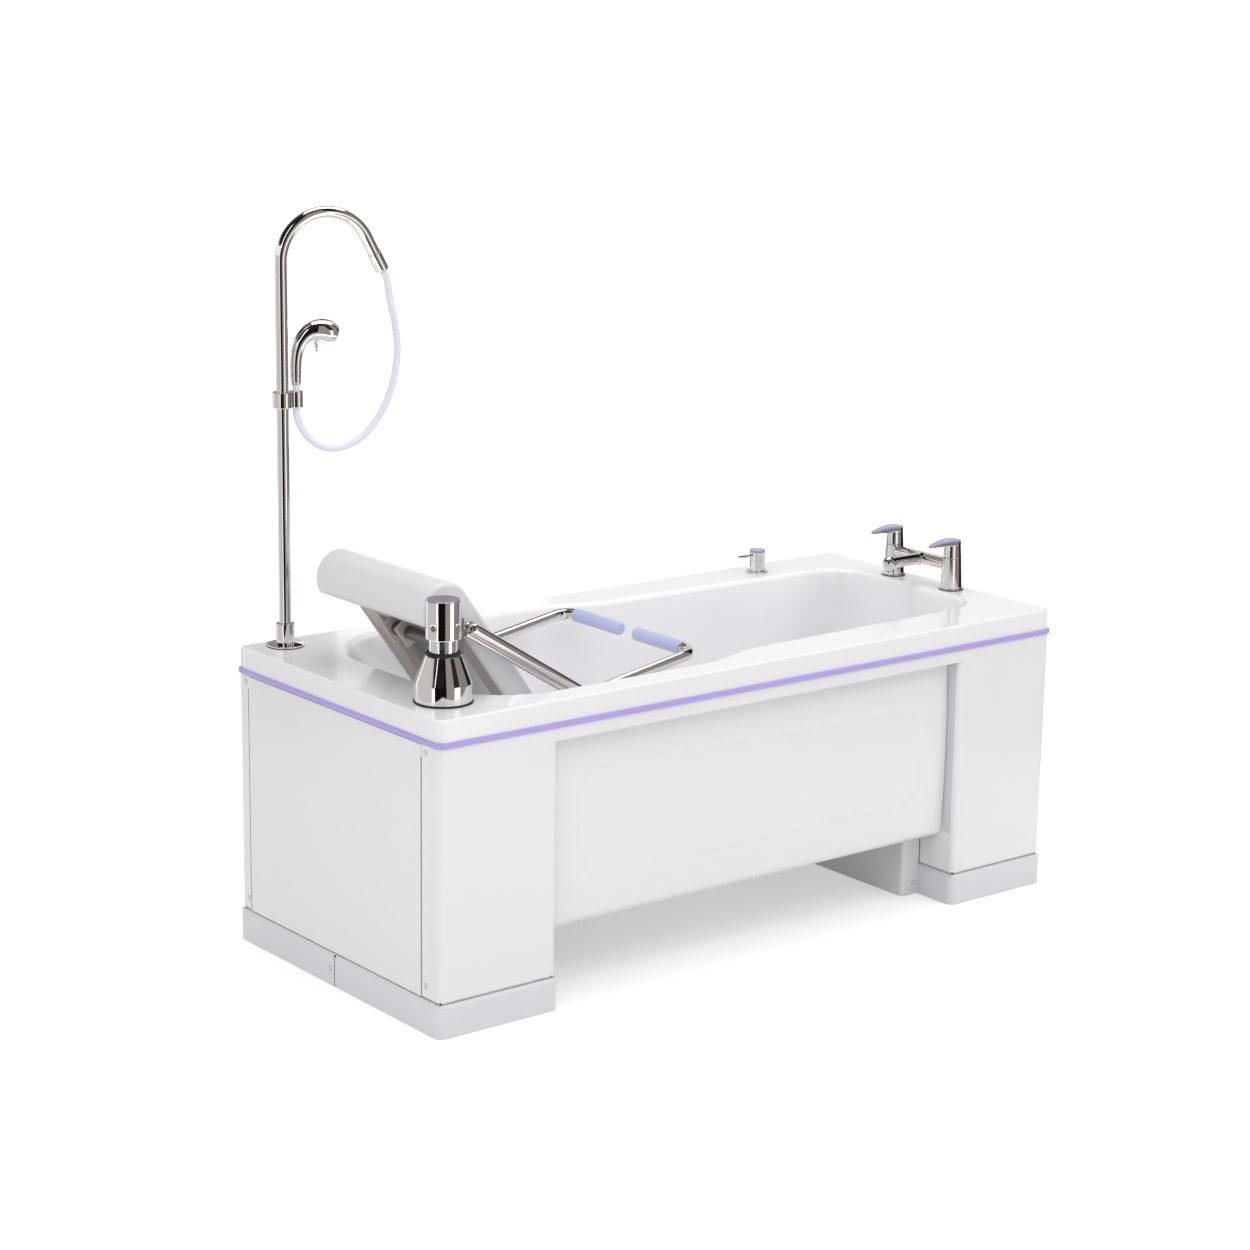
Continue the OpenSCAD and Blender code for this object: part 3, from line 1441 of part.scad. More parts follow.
far_handle_insert();
valve_body();
valve_cap();
valve_lever();
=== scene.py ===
"""Assisted bath with a transfer seat, riser and bath tap: camera, light, materials and the finer pieces."""
import json
from math import asin, atan2, cos, dist, hypot, pi, radians, sin, sqrt, tan

import bmesh
import bpy
from mathutils import Matrix, Vector


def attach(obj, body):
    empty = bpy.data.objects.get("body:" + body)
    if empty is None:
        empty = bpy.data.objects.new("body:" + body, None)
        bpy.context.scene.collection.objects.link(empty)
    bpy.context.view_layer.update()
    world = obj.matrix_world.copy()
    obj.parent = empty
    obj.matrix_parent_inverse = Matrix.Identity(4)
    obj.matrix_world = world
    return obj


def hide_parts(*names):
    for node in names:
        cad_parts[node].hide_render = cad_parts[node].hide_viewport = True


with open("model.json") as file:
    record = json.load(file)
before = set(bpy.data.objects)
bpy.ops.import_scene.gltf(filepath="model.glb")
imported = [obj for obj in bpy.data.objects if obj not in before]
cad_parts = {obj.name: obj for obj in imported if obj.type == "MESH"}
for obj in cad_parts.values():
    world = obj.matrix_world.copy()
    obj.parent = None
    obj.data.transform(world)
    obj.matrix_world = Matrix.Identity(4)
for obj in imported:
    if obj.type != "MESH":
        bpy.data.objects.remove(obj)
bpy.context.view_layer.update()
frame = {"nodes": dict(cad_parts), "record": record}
nodes = frame["nodes"]

# Lengths are in metres; the bath's corner at the head end and near side is in the part's own frame
HEAD, NEAR = -0.85, -0.377
LENGTH, WIDTH, RIM = 1.7, 0.754, 0.658
MID = WIDTH / 2
UP = Vector((0, 0, 1))


def place(u, v, z):
    """A point given from the head end, the near side and the floor."""
    return Vector((HEAD + u, NEAR + v, z))


def even(start, end, steps):
    """Evenly spaced values from a start to an end, with both of them."""
    return [start + (end - start) * i / steps for i in range(steps + 1)]


def circle(steps):
    """Angles round a full turn."""
    return even(0, 2 * pi, steps)[:-1]


def quarter(steps):
    """Angles of a quarter turn."""
    return even(0, pi / 2, steps)


def heading(a):
    """The way that an angle points to, as two values."""
    return Vector((cos(a), sin(a)))


def arc(x, y, r, start, end, steps):
    """Points along an arc about a centre."""
    return [(x + r * cos(a), y + r * sin(a)) for a in even(start, end, steps)]


def corner(r, steps):
    """Distances from the two sides of a rounded corner along its arc."""
    return [(r * (1 - cos(a)), r * (1 - sin(a))) for a in quarter(steps)]


def clamp(x, low, high):
    return min(max(x, low), high)


def ease(t):
    """A soft step from 0 to 1."""
    t = clamp(t, 0.0, 1.0)
    return t * t * (3 - 2 * t)


def linked(name, data):
    """A new object in the scene."""
    obj = bpy.data.objects.new(name, data)
    bpy.context.collection.objects.link(obj)
    return obj


# Camera, as solved from the edges in the photo: azimuth, elevation and roll in degrees
CAMERA_TARGET, CAMERA_AWAY = place(1.2085, 0.948, 0.5), 7.206
CAMERA_ANGLES = (-38.446, 13.4509, 0.8715)
FOCAL_PIXELS, PHOTO_PIXELS, SENSOR = 2942.94, 1250, 36


def make_camera():
    data = bpy.data.cameras.new("camera")
    cam = linked("camera", data)
    bpy.context.scene.camera = cam
    azimuth, elevation, roll = (radians(a) for a in CAMERA_ANGLES)
    back = Vector((sin(azimuth) * cos(elevation), -cos(azimuth) * cos(elevation), sin(elevation)))
    level = UP.cross(back).normalized()
    up = back.cross(level)
    right = level * cos(roll) + up * sin(roll)
    top = up * cos(roll) - level * sin(roll)
    pose = Matrix((right, top, back)).transposed().to_4x4()
    pose.translation = CAMERA_TARGET + back * CAMERA_AWAY
    cam.matrix_world = pose
    data.sensor_width = SENSOR
    data.lens = FOCAL_PIXELS / PHOTO_PIXELS * SENSOR
    data.clip_start, data.clip_end = 0.05, 400


make_camera()
bpy.context.scene.view_settings.view_transform = "Standard"


# Node trees
class Tree:
    """The node tree of a material or the world, with helpers that add nodes to it."""

    def __init__(self, owner):
        owner.use_nodes = True
        self.tree = owner.node_tree

    def fill(self, node, inputs):
        """Gives each of a node's inputs a value, or a link from another node's output."""
        for key, value in inputs.items():
            if isinstance(value, bpy.types.NodeSocket):
                self.tree.links.new(value, node.inputs[key])
            else:
                node.inputs[key].default_value = value

    def node(self, kind, inputs, **settings):
        """A new node with its settings and inputs."""
        node = self.tree.nodes.new("ShaderNode" + kind)
        for key, value in settings.items():
            setattr(node, key, value)
        self.fill(node, inputs)
        return node

    def seen_by(self, *rays):
        """One for the named kinds of ray and nought for the others."""
        path = self.node("LightPath", {})
        seen = path.outputs[rays[0]]
        for ray in rays[1:]:
            seen = self.node("Math", {0: seen, 1: path.outputs[ray]}, operation="MAXIMUM").outputs[0]
        return seen

    def show(self, choice, otherwise, chosen, output):
        """Sends one of two shaders to the output."""
        mix = self.node("MixShader", {0: choice, 1: otherwise.outputs[0], 2: chosen.outputs[0]})
        self.fill(self.tree.nodes[output], {"Surface": mix.outputs[0]})


class Mat(Tree):
    """A node material with a Principled shader and helpers for its textures."""

    def __init__(self, name):
        self.mat = bpy.data.materials.new(name)
        super().__init__(self.mat)
        self.shader = self.tree.nodes["Principled BSDF"]
        self.coord = self.node("TexCoord", {}).outputs["Object"]

    def set(self, **values):
        self.fill(self.shader, {key.replace("_", " "): value for key, value in values.items()})

    def noise(self, scale, detail=2.0, stretch=(1, 1, 1), rough=0.5):
        spread = self.node("Mapping", {"Vector": self.coord, "Scale": stretch}).outputs["Vector"]
        return self.node("TexNoise", {"Vector": spread, "Scale": scale, "Detail": detail,
                                      "Roughness": rough}).outputs["Fac"]

    def tone(self, fac, base, low, high):
        """The base colour, made darker and lighter by a pattern."""
        ramp = self.node("ValToRGB", {"Fac": fac})
        for stop, position, k in zip(ramp.color_ramp.elements, (0.3, 0.7), (low, high)):
            stop.position = position
            stop.color = scaled(base, k)
        return ramp.outputs["Color"]

    def span(self, fac, low, high):
        return self.node("MapRange", {"Value": fac, "To Min": low, "To Max": high}).outputs["Result"]

    def bump(self, fac, strength, distance):
        bump = self.node("Bump", {"Height": fac, "Strength": strength, "Distance": distance})
        self.set(Normal=bump.outputs["Normal"])

    def edge_wear(self, base, worn, amount):
        """Mixes a second colour in along sharp edges."""
        bevel = self.node("Bevel", {"Radius": 0.003}, samples=4)
        surface = self.node("NewGeometry", {})
        facing = self.node("VectorMath", {0: bevel.outputs["Normal"], 1: surface.outputs["Normal"]},
                           operation="DOT_PRODUCT")
        edge = self.node("MapRange", {"Value": facing.outputs["Value"], "From Min": 1.0, "From Max": 0.8,
                                      "To Max": amount})
        mix = self.node("Mix", {"Factor": edge.outputs["Result"], "A": base, "B": worn}, data_type="RGBA")
        return mix.outputs["Result"]


# Colours and materials
def srgb(code):
    """A colour code as linear red, green and blue."""
    c = [int(code[i:i + 2], 16) / 255 for i in (1, 3, 5)]
    return [x / 12.92 if x <= 0.04045 else ((x + 0.055) / 1.055) ** 2.4 for x in c] + [1.0]


def scaled(colour, k):
    return [min(1.0, x * k) for x in colour[:3]] + [1.0]


# Colour, roughness, coat, peel, scale of the peel, unevenness of the colour and wear of the edges
PLASTICS = {
    "tub_acrylic": ("#FAFAFC", 0.16, 0.35, 0.02, 90, 0.01, 0),
    "panel_white": ("#F3F2F4", 0.24, 0.15, 0.03, 160, 0.012, 0),
    # The plinths' white is the panels' white made darker, as painted shade low down by the floor
    "plinth_shaded_white": ("#E7E6EA", 0.3, 0.1, 0.03, 160, 0.015, 0),
    "screw_cap": ("#E6E4EC", 0.3, 0, 0.02, 260, 0.02, 0),
    "bumper_lilac": ("#BCACEC", 0.36, 0, 0.06, 400, 0.05, 0.25),
    "frame_steel": ("#C4C6CA", 0.42, 0, 0.12, 220, 0.05, 0.25),
    # Pale grey for the strips in the gaps beside the tub panels, as painted shade
    "pale_painted_shade": ("#D9D9DC", 0.5, 0, 0.02, 260, 0.01, 0),
    "bush_plastic": ("#D9C27A", 0.45, 0, 0.1, 260, 0.03, 0.25),
    "actuator_case": ("#3A3A3E", 0.4, 0, 0.12, 260, 0.03, 0.25),
    "seat_plastic": ("#E8E8EB", 0.3, 0, 0.008, 60, 0.008, 0),
    "grip_blue": ("#C3C9F0", 0.36, 0.15, 0.3, 520, 0.09, 0.25),
    "trap_plastic": ("#E6E6E6", 0.4, 0, 0.06, 260, 0.03, 0.25),
    "spray_face": ("#B8BAC4", 0.35, 0, 0.08, 260, 0.03, 0.25),
    "hose_plastic": ("#F1EFFD", 0.3, 0, 0.005, 60, 0.01, 0),
    "insert_lilac": ("#A4A4C8", 0.16, 0.5, 0.02, 260, 0.03, 0.25),
}
# Colour, roughness, unevenness of the colour, stretch and depth of a brushed grain, and how metallic it is
METALS = {
    "chrome": ("#EEEAE7", 0.055, 0.03),
    "satin_chrome": ("#EDEBF0", 0.12, 0.02),
    "screw_chrome": ("#D8D8DA", 0.12, 0.06),
    # Lilac-grey for the top of the column's cap, as a painted reflection
    "cap_top_reflection": ("#B4B0C0", 0.35, 0.03),
    "tail_brass": ("#C9A24B", 0.25, 0.06),
    "arm_grey": ("#7C7674", 0.3, 0.06, 14, 0.08),
    "seat_steel": ("#CBC1B9", 0.38, 0.06, 30, 0.14, 0.35),
}
# The second, grey one is painted shade for the joints' lines and the rings round the screw heads
RUBBERS = {"foot_rubber": "#1E1E20", "grey_painted_shade": "#6E6E72"}


def plastic(name, code, rough, coat, peel, peel_scale, vary, wear):
    """Moulded plastic; peel is the fine unevenness of its surface."""
    m = Mat(name)
    base = srgb(code)
    tone = m.tone(m.noise(3.5, detail=4), base, 1 - vary, 1 + vary * 0.4)
    m.set(Base_Color=m.edge_wear(tone, scaled(base, 1.12), wear) if wear else tone,
          Roughness=m.span(m.noise(22, detail=5), rough * 0.8, rough * 1.25),
          IOR=1.49, Specular_IOR_Level=0.5, Coat_Weight=coat, Coat_Roughness=0.05)
    m.bump(m.noise(peel_scale), peel, 0.0006)
    return m.mat


def metal(name, code, rough, vary, grain=0, depth=0, share=1.0):
    """Polished metal, or brushed where it has a grain."""
    m = Mat(name)
    m.set(Base_Color=m.tone(m.noise(6, detail=4), srgb(code), 1 - vary, 1 + vary), Metallic=share)
    if grain:
        lines = m.noise(120, detail=3, stretch=(1, grain, 1), rough=0.7)
        m.set(Roughness=m.span(lines, rough * 0.7, rough * 1.5))
        m.bump(lines, depth, 0.0004)
    else:
        m.set(Roughness=m.span(m.noise(45, detail=5), rough * 0.6, rough * 1.6))
        m.bump(m.noise(500), 0.03, 0.0002)
    return m.mat


def rubber(name, code):
    m = Mat(name)
    rough = 0.55
    m.set(Base_Color=m.tone(m.noise(30, detail=4), srgb(code), 0.85, 1.2),
          Roughness=m.span(m.noise(80, detail=4), rough * 0.85, rough * 1.15))
    m.bump(m.noise(900), 0.25, 0.0005)
    return m.mat


MATS = {name: plastic(name, *values) for name, values in PLASTICS.items()}
MATS.update({name: metal(name, *values) for name, values in METALS.items()})
MATS.update({name: rubber(name, code) for name, code in RUBBERS.items()})

# Widths of the softened edges of the solids that stay, and how their names end
SOFT_EDGES = {0.0012: ("_end_panel", "_apron", "support_arm"),
              0.001: ("_kick_cover", "_plinth_near", "_plinth_far", "seat_bracket", "seat_frame")}


def soften(obj, width):
    bevel = obj.modifiers.new("bevel", "BEVEL")
    bevel.width = width
    bevel.segments = 2
    bevel.limit_method = "ANGLE"
    bevel.angle_limit = radians(32)
    bevel.harden_normals = True


def dress_solids():
    """Gives each solid its material and its softened edges."""
    slot_of = {s["node"]: s["material_slot"] for s in frame["record"]["subparts"]}
    for name, obj in nodes.items():
        obj.data.materials.clear()
        # The plinths take a darker copy of the panels' white, as painted shade near the floor
        obj.data.materials.append(MATS["plinth_shaded_white" if "plinth" in name else slot_of[name]])
        for width, endings in SOFT_EDGES.items():
            if name.endswith(endings):
                soften(obj, width)


dress_solids()


# World, lights, floor and studio cards
WHITE = (1, 1, 1, 1)
WORLD_LIGHT = 0.6
# Where each light hangs, what it faces, its size and its power
LIGHTS = {
    "key": ((-3.2, -2.2, 3.4), (0, 0, 0.4), (2.6, 2.6), 36),
    "fill": ((2.4, -2.8, 3.2), (0, 0, 0.4), (2.2, 2.2), 41),
    "top": ((0.3, 0.6, 4.2), (0, 0, 0), (3, 2.2), 46),
    "front": ((-3, -2.7, 1), (-0.55, -0.05, 0.75), (1.6, 1), 6),
    "bounce": ((-0.5, -0.05, 0.42), (-0.6, -0.05, 0.75), (0.1, 0.45), 0.2),
}
FLOOR_REACH = 140.0
# Start and end in degrees to the right of the camera, colour and height of each card
CARDS = {
    "card_dark_middle": (-30, 11, (0.004, 0.004, 0.004), 5.5),
    "card_taupe": (11, 41, (0.32, 0.29, 0.27), 5.5),
    "card_grey_right": (66, 112, (0.26, 0.24, 0.225), 5.5),
    "card_dark_right": (112, 142, (0.01, 0.01, 0.01), 5.5),
    "card_light_right": (142, 180, (0.66, 0.66, 0.66), 5.5),
    "card_grey_left": (-165, -128, (0.3, 0.28, 0.265), 5.5),
    "card_light_left": (-112, -40, (0.62, 0.6, 0.61), 1.6),
}
CARD_CENTRE, CARD_AWAY, CAMERA_SIDE = Vector((-0.5, -0.15)), 2.3, 231.55
OVERHEAD_R, OVERHEAD_Z = 11, 4.7


def make_world():
    """Even white light, brighter where the camera, reflections and clear pieces see the world itself."""
    world = bpy.data.worlds.new("world")
    bpy.context.scene.world = world
    tree = Tree(world)
    lit = tree.tree.nodes["Background"]
    tree.fill(lit, {"Color": WHITE, "Strength": WORLD_LIGHT})
    shown = tree.node("Background", {"Color": WHITE, "Strength": 1.0})
    rays = tree.seen_by("Is Camera Ray", "Is Glossy Ray", "Is Transmission Ray")
    tree.show(rays, lit, shown, "World Output")


def add_light(name, at, target, size, power):
    data = bpy.data.lights.new(name, "AREA")
    data.shape = "RECTANGLE"
    data.size, data.size_y = size
    data.energy = power
    obj = linked(name, data)
    obj.location = at
    obj.rotation_euler = (Vector(target) - Vector(at)).to_track_quat("-Z", "Y").to_euler()
    obj.visible_camera = False
    obj.visible_glossy = name != "bounce"


def stage_mesh(name, verts, faces, material):
    mesh = bpy.data.meshes.new(name)
    mesh.from_pydata(verts, [], faces)
    mesh.materials.append(material)
    obj = linked(name, mesh)
    return obj


def make_floor():
    """A pale floor that takes the bath's shadow; where it is seen it glows, more so far from the bath."""
    m = Mat("floor")
    m.set(Base_Color=(0.84, 0.84, 0.84, 1), Roughness=0.9, Specular_IOR_Level=0.0)
    away = m.node("VectorMath", {0: m.coord}, operation="LENGTH")
    strength = m.node("MapRange", {"Value": away.outputs["Value"], "From Min": 0.9, "From Max": 4.5,
                                   "To Min": 0.4, "To Max": 0.66}, interpolation_type="SMOOTHSTEP")
    glow = m.node("Emission", {"Color": WHITE, "Strength": strength.outputs["Result"]})
    glowing = m.node("AddShader", {0: m.shader.outputs[0], 1: glow.outputs[0]})
    m.show(m.seen_by("Is Camera Ray", "Is Glossy Ray"), m.shader, glowing, "Material Output")
    r = FLOOR_REACH
    stage_mesh("floor", [(-r, -r, 0), (r, -r, 0), (r, r, 0), (-r, r, 0)], [(0, 1, 2, 3)], m.mat)


def hang_card(name, verts, faces, colour):
    """A glowing sheet that only reflections see."""
    m = Mat(name)
    glow = m.node("Emission", {"Color": (*colour, 1)})
    m.fill(m.tree.nodes["Material Output"], {"Surface": glow.outputs[0]})
    obj = stage_mesh(name, verts, faces, m.mat)
    for ray in ("camera", "diffuse", "shadow", "transmission"):
        setattr(obj, "visible_" + ray, False)


def make_cards():
    """Curved cards that stand round the bath, and a dark ceiling above the lights."""
    steps = 6
    for name, (start, end, colour, high) in CARDS.items():
        verts = []
        for turn in even(start, end, steps):
            a = radians(CAMERA_SIDE + turn)
            foot = CARD_CENTRE + CARD_AWAY * heading(a)
            verts += [(foot.x, foot.y, 0), (foot.x, foot.y, high)]
        hang_card(name, verts, [(i, i + 2, i + 3, i + 1) for i in range(0, 2 * steps, 2)], colour)
    rim = [(OVERHEAD_R * cos(a), OVERHEAD_R * sin(a), OVERHEAD_Z) for a in circle(48)]
    hang_card("card_overhead", rim, [tuple(range(len(rim)))], (0.02, 0.02, 0.021))


# Mesh helpers: a form is a list of points and a list of faces
def add_mesh(name, form, material, body, replaced=None, sharp=38):
    """A smooth piece on a body, in place of a node; edges above the sharp angle, in degrees, stay sharp."""
    verts, faces = form
    mesh = bpy.data.meshes.new(name)
    mesh.from_pydata([tuple(v) for v in verts], [], faces)
    mesh.validate()
    obj = linked(name, mesh)
    bm = bmesh.new()
    bm.from_mesh(mesh)
    bmesh.ops.recalc_face_normals(bm, faces=bm.faces)
    bm.to_mesh(mesh)
    bm.free()
    mesh.polygons.foreach_set("use_smooth", [True] * len(mesh.polygons))
    if sharp:
        mesh.set_sharp_from_angle(angle=radians(sharp))
    mesh.materials.append(MATS[material])
    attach(obj, body)
    if replaced:
        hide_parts(replaced)
    return obj


def thicken(obj, wall):
    """Gives a sheet its wall, behind its face."""
    thick = obj.modifiers.new("wall", "SOLIDIFY")
    thick.thickness = wall
    thick.offset = -1


def lofted(rings, closed_ends=True, loop=True):
    """A form that joins rings of the same number of points."""
    n = len(rings[0])
    verts = [p for ring in rings for p in ring]
    faces = []
    for i in range(len(rings) - 1):
        for k in range(n if loop else n - 1):
            a, b = i * n + k, i * n + (k + 1) % n
            faces.append((a, b, b + n, a + n))
    if closed_ends:
        faces.append(tuple(range(n - 1, -1, -1)))
        last = (len(rings) - 1) * n
        faces.append(tuple(range(last, last + n)))
    return verts, faces


def joined(*parts):
    """Several forms as one."""
    verts, faces = [], []
    for v, f in parts:
        n = len(verts)
        verts = verts + v
        faces = faces + [tuple(i + n for i in face) for face in f]
    return verts, faces


def mirrored(form):
    """A form on the other long side of the bath."""
    return [Vector((p.x, -p.y, p.z)) for p in form[0]], [tuple(reversed(f)) for f in form[1]]


def smooth_path(points, steps):
    """A soft curve through points of any number of values."""
    out = []
    for i in range(len(points) - 1):
        a, b, c, d = (points[clamp(k, 0, len(points) - 1)] for k in range(i - 1, i + 3))
        for t in even(0, 1, steps)[:-1]:
            out.append([0.5 * (2 * q + (r - p) * t + (2 * p - 5 * q + 4 * r - s) * t * t
                               + (3 * q - p - 3 * r + s) * t ** 3) for p, q, r, s in zip(a, b, c, d)])
    out.append(list(points[-1]))
    return out


def rounded(line, reach):
    """An open line with its corners replaced by small arcs, with a point on the straight at each side."""
    line = [Vector(p) for p in line]
    out = [line[0]]
    for before, p, after in zip(line, line[1:], line[2:]):
        back, on = before - p, after - p
        k = min(reach, back.length * 0.3, on.length * 0.3)
        back, on = back.normalized() * k, on.normalized() * k
        out.append(p + 1.5 * back)
        out += [p + (1 - t) ** 2 * back + t * t * on for t in even(0, 1, 3)]
        out.append(p + 1.5 * on)
    out.append(line[-1])
    return out


# The smallest radius of a lathed form, which stands for its axis
TINY = 0.0002


def solid(*line):
    """The line of a lathed form, closed to its axis at both ends."""
    return [(TINY, line[0][1]), *line, (TINY, line[-1][1])]


def turned(line, put, reach=0.0008, around=72, closed_ends=True):
    """A lathed form; the line runs as radius and height, and put gives the point."""
    rings = [[put(r * cos(a), r * sin(a), z) for a in circle(around)] for r, z in rounded(line, reach)]
    return lofted(rings, closed_ends)


def tube(centre, radii, side, around=36):
    """A tube along a line of points, its rings carried on without twist."""
    rings = []
    last = len(centre) - 1
    for i, p in enumerate(centre):
        t = (centre[min(i + 1, last)] - centre[max(i - 1, 0)]).normalized()
        side = (side - t * side.dot(t)).normalized()
        other = t.cross(side)
        r = radii[i] if isinstance(radii, list) else radii
        rings.append([p + r * (cos(a) * side + sin(a) * other) for a in circle(around)])
    return lofted(rings)


def slab(plan, low, high, edge, put=place, steps=2):
    """A flat form with a closed plan and rounded edges."""
    outs = []
    for before, after in zip(plan[-1:] + plan[:-1], plan[1:] + plan[:1]):
        t = Vector((after[0] - before[0], after[1] - before[1])).normalized()
        outs.append((t.y, -t.x))

    def ring(inset, z):
        return [put(p[0] - o[0] * inset, p[1] - o[1] * inset, z) for p, o in zip(plan, outs)]

    turn = corner(edge, steps)
    rings = [ring(2 * edge, low)] + [ring(inset, low + rise) for rise, inset in turn]
    rings += [ring(0, low + 1.5 * edge), ring(0, high - 1.5 * edge)]
    rings += [ring(inset, high - drop) for drop, inset in reversed(turn)]
    return lofted(rings + [ring(2 * edge, high)])


def box(u0, u1, v0, v1, low, high, edge):
    """An upright box with rounded edges."""
    return slab([(u0, v0), (u1, v0), (u1, v1), (u0, v1)], low, high, edge)


def upright_at(u, v):
    return lambda x, y, z: place(u + x, v + y, z)


def framed(origin, axis, side=UP):
    """Puts points with their height along an axis from an origin."""
    axis = Vector(axis).normalized()
    across = axis.cross(side).normalized()
    other = across.cross(axis)
    return lambda x, y, z: origin + across * x + other * y + axis * z


# Riser: its pole, the upright plane of its crook, and the crook's straight tail
RISER, RISER_TURN = place(0.083, 0.697, 0), radians(-13)
OUTWARDS, ACROSS = heading(RISER_TURN).to_3d(), heading(RISER_TURN + pi / 2).to_3d()
POLE_R, POLE_TOP = 0.013, 1.478
CROOK_R, CROOK_TURN, TAIL = 0.1, radians(153), 0.0683


def on_riser(s, z, side=0.0):
    """A point s out from the pole in the plane of the crook, or to the side of it."""
    return RISER + s * OUTWARDS + side * ACROSS + z * UP


def riser_at(s):
    return lambda x, y, z: on_riser(s + x, z, y)


def crook_at(turn, along=0.0):
    """Distance out from the pole and height, after a turn round the crook and a straight run."""
    return (CROOK_R * (1 - cos(turn)) + along * sin(turn),
            POLE_TOP + CROOK_R * sin(turn) + along * cos(turn))


def tail_at(along):
    """A point on the crook's tail."""
    return on_riser(*crook_at(CROOK_TURN, along))


# Shower hose, as distances out from the pole and heights
HOSE_R = 0.0075
ROUTE = [crook_at(CROOK_TURN, TAIL + run) for run in (0, 0.014, 0.03)]
ROUTE += [(0.241, 1.39), (0.252, 1.34), (0.257, 1.286), (0.252, 1.236), (0.238, 1.186), (0.215, 1.142),
          (0.184, 1.106), (0.15, 1.086), (0.116, 1.079), (0.082, 1.086), (0.054, 1.108), (0.036, 1.138),
          (0.03, 1.166), (0.03, 1.206), (0.03, 1.225)]


def make_hose():
    centre = [on_riser(s, z) for s, z in smooth_path(ROUTE, 10)]
    form = tube(centre, HOSE_R, ACROSS, 24)
    obj = add_mesh("hose", form, "hose_plastic", "riser", "shower_hose", sharp=None)


# Tub moulding: the basin's plan at the rim, its walls and floor, and the rim's band
HEAD_DECK, FOOT_DECK, SIDE_DECK = 0.143, 0.092, 0.072
BASIN_MID, BASIN_FOOT, BASIN_HALF = 0.86, LENGTH - FOOT_DECK, MID - SIDE_DECK
HEAD_CORNER, FOOT_CORNER, RIM_CORNER = 0.19, 0.09, 0.012
WAIST_START, WAIST_RUN, WAIST = 0.73, 0.17, 0.046
TAPER_START, TAPER = 0.9, 0.027
FLOOR_Z, SHELL, BAND = 0.196, 0.006, 0.051
DEPTH = RIM - FLOOR_Z
# Floor radius and slope of each wall
WALLS = {"head": (0.12, radians(62)), "foot": (0.08, radians(83)), "side": (0.11, radians(84))}
# Heights above the basin's floor of the rings outside it and inside it
OUTER_STEPS = (0, 0.004, 0.012, 0.025, 0.045, 0.07, 0.1, 0.15, 0.22, 0.3, 0.38, DEPTH - 0.02)
INNER_STEPS = (0.42, 0.38, 0.34, 0.3, 0.26, 0.22, 0.18, 0.15, 0.125, 0.105, 0.088, 0.072, 0.058, 0.046,
               0.035, 0.026, 0.018, 0.011, 0.006, 0.002, 0)


def half_width(u):
    """Half the basin's width at the rim: an eased waist, then a taper towards the foot."""
    taper = TAPER * max(u - TAPER_START, 0) / (LENGTH - TAPER_START)
    return BASIN_HALF - WAIST * ease((u - WAIST_START) / WAIST_RUN) - taper


def plan_points():
    """Outline of the basin at the rim, from the head's middle round the near side and back."""
    hc, fc = HEAD_CORNER, FOOT_CORNER
    head_u, foot_u = HEAD_DECK + hc, BASIN_FOOT - fc
    foot_half = half_width(foot_u)
    near = [(HEAD_DECK, MID - x) for x in even(0, BASIN_HALF - hc, 6)[:-1]]
    near += arc(head_u, MID - BASIN_HALF + hc, hc, pi, 1.5 * pi, 24)
    near += [(u, MID - half_width(u)) for u in even(head_u, foot_u, 60)[1:-1]]
    near += arc(foot_u, MID - foot_half + fc, fc, 1.5 * pi, 2 * pi, 18)
    near += [(BASIN_FOOT, MID - (foot_half - fc) * (1 - t)) for t in even(0, 1, 6)[1:]]
    return near + [(u, WIDTH - v) for u, v in reversed(near[1:-1])]


PLAN = plan_points()


def wall_reach(radius, angle, height):
    """Distance from the floor arc's centre to the wall at a height above the floor."""
    top = radius * (1 - cos(angle))
    if height >= top:
        return radius * sin(angle) + (height - top) / tan(angle)
    return sqrt(max(radius ** 2 - (radius - height) ** 2, 0))


def inward(wall, height):
    """How far a wall stands in from the rim at a height."""
    return wall_reach(*WALLS[wall], DEPTH) - wall_reach(*WALLS[wall], height)


def basin_ring(height, grow, z):
    """Outline of the basin at a height above its floor, grown outwards and placed at z."""
    head, foot, side = (inward(wall, height) for wall in ("head", "foot", "side"))
    ring = []
    for u, v in PLAN:
        # The sides slope less where the waist has already drawn them in
        drawn = BASIN_HALF - half_width(clamp(u, 0.3, 1.5))
        squeeze = side if drawn < 0.01 else side * (1 - drawn / 0.09)
        squeeze = max(squeeze, side - drawn, 0.0)
        if u < BASIN_MID:
            u = BASIN_MID - (BASIN_MID - u) * (1 - head / (BASIN_MID - HEAD_DECK))
        else:
            u = BASIN_MID + (u - BASIN_MID) * (1 - foot / (BASIN_FOOT - BASIN_MID))
        ring.append(place(u, MID + (v - MID) * (1 - squeeze / BASIN_HALF), z))
    middle = place(BASIN_MID, MID, z)
    grown = []
    for before, p, after in zip(ring[-1:] + ring[:-1], ring, ring[1:] + ring[:1]):
        t = (after - before).normalized()
        out = Vector((t.y, -t.x, 0))
        grown.append(p + out * (grow if out.dot(p - middle) >= 0 else -grow))
    return grown


def rim_ring(inset, z):
    """The rim's outer edge drawn in, with one point for each point of the basin's outline."""
    half_u, half_v = LENGTH / 2 - inset, MID - inset
    r = max(RIM_CORNER - inset, 0.002)
    ring = []
    for u, v in PLAN:
        # The basin's outline stretched out to the rim's rectangle
        s = (u - HEAD_DECK) / (BASIN_FOOT - HEAD_DECK) * 2 - 1
        w = (v - MID) / half_width(clamp(u, 0.0, 1.5))
        reach = max(abs(s), abs(w))
        x, y = s / reach * half_u, w / reach * half_v
        # Round the corner off
        cx, cy = clamp(x, r - half_u, half_u - r), clamp(y, r - half_v, half_v - r)
        d = hypot(x - cx, y - cy)
        if d > r:
            x, y = cx + (x - cx) * r / d, cy + (y - cy) * r / d
        ring.append(place(LENGTH / 2 + x, MID + y, z))
    return ring


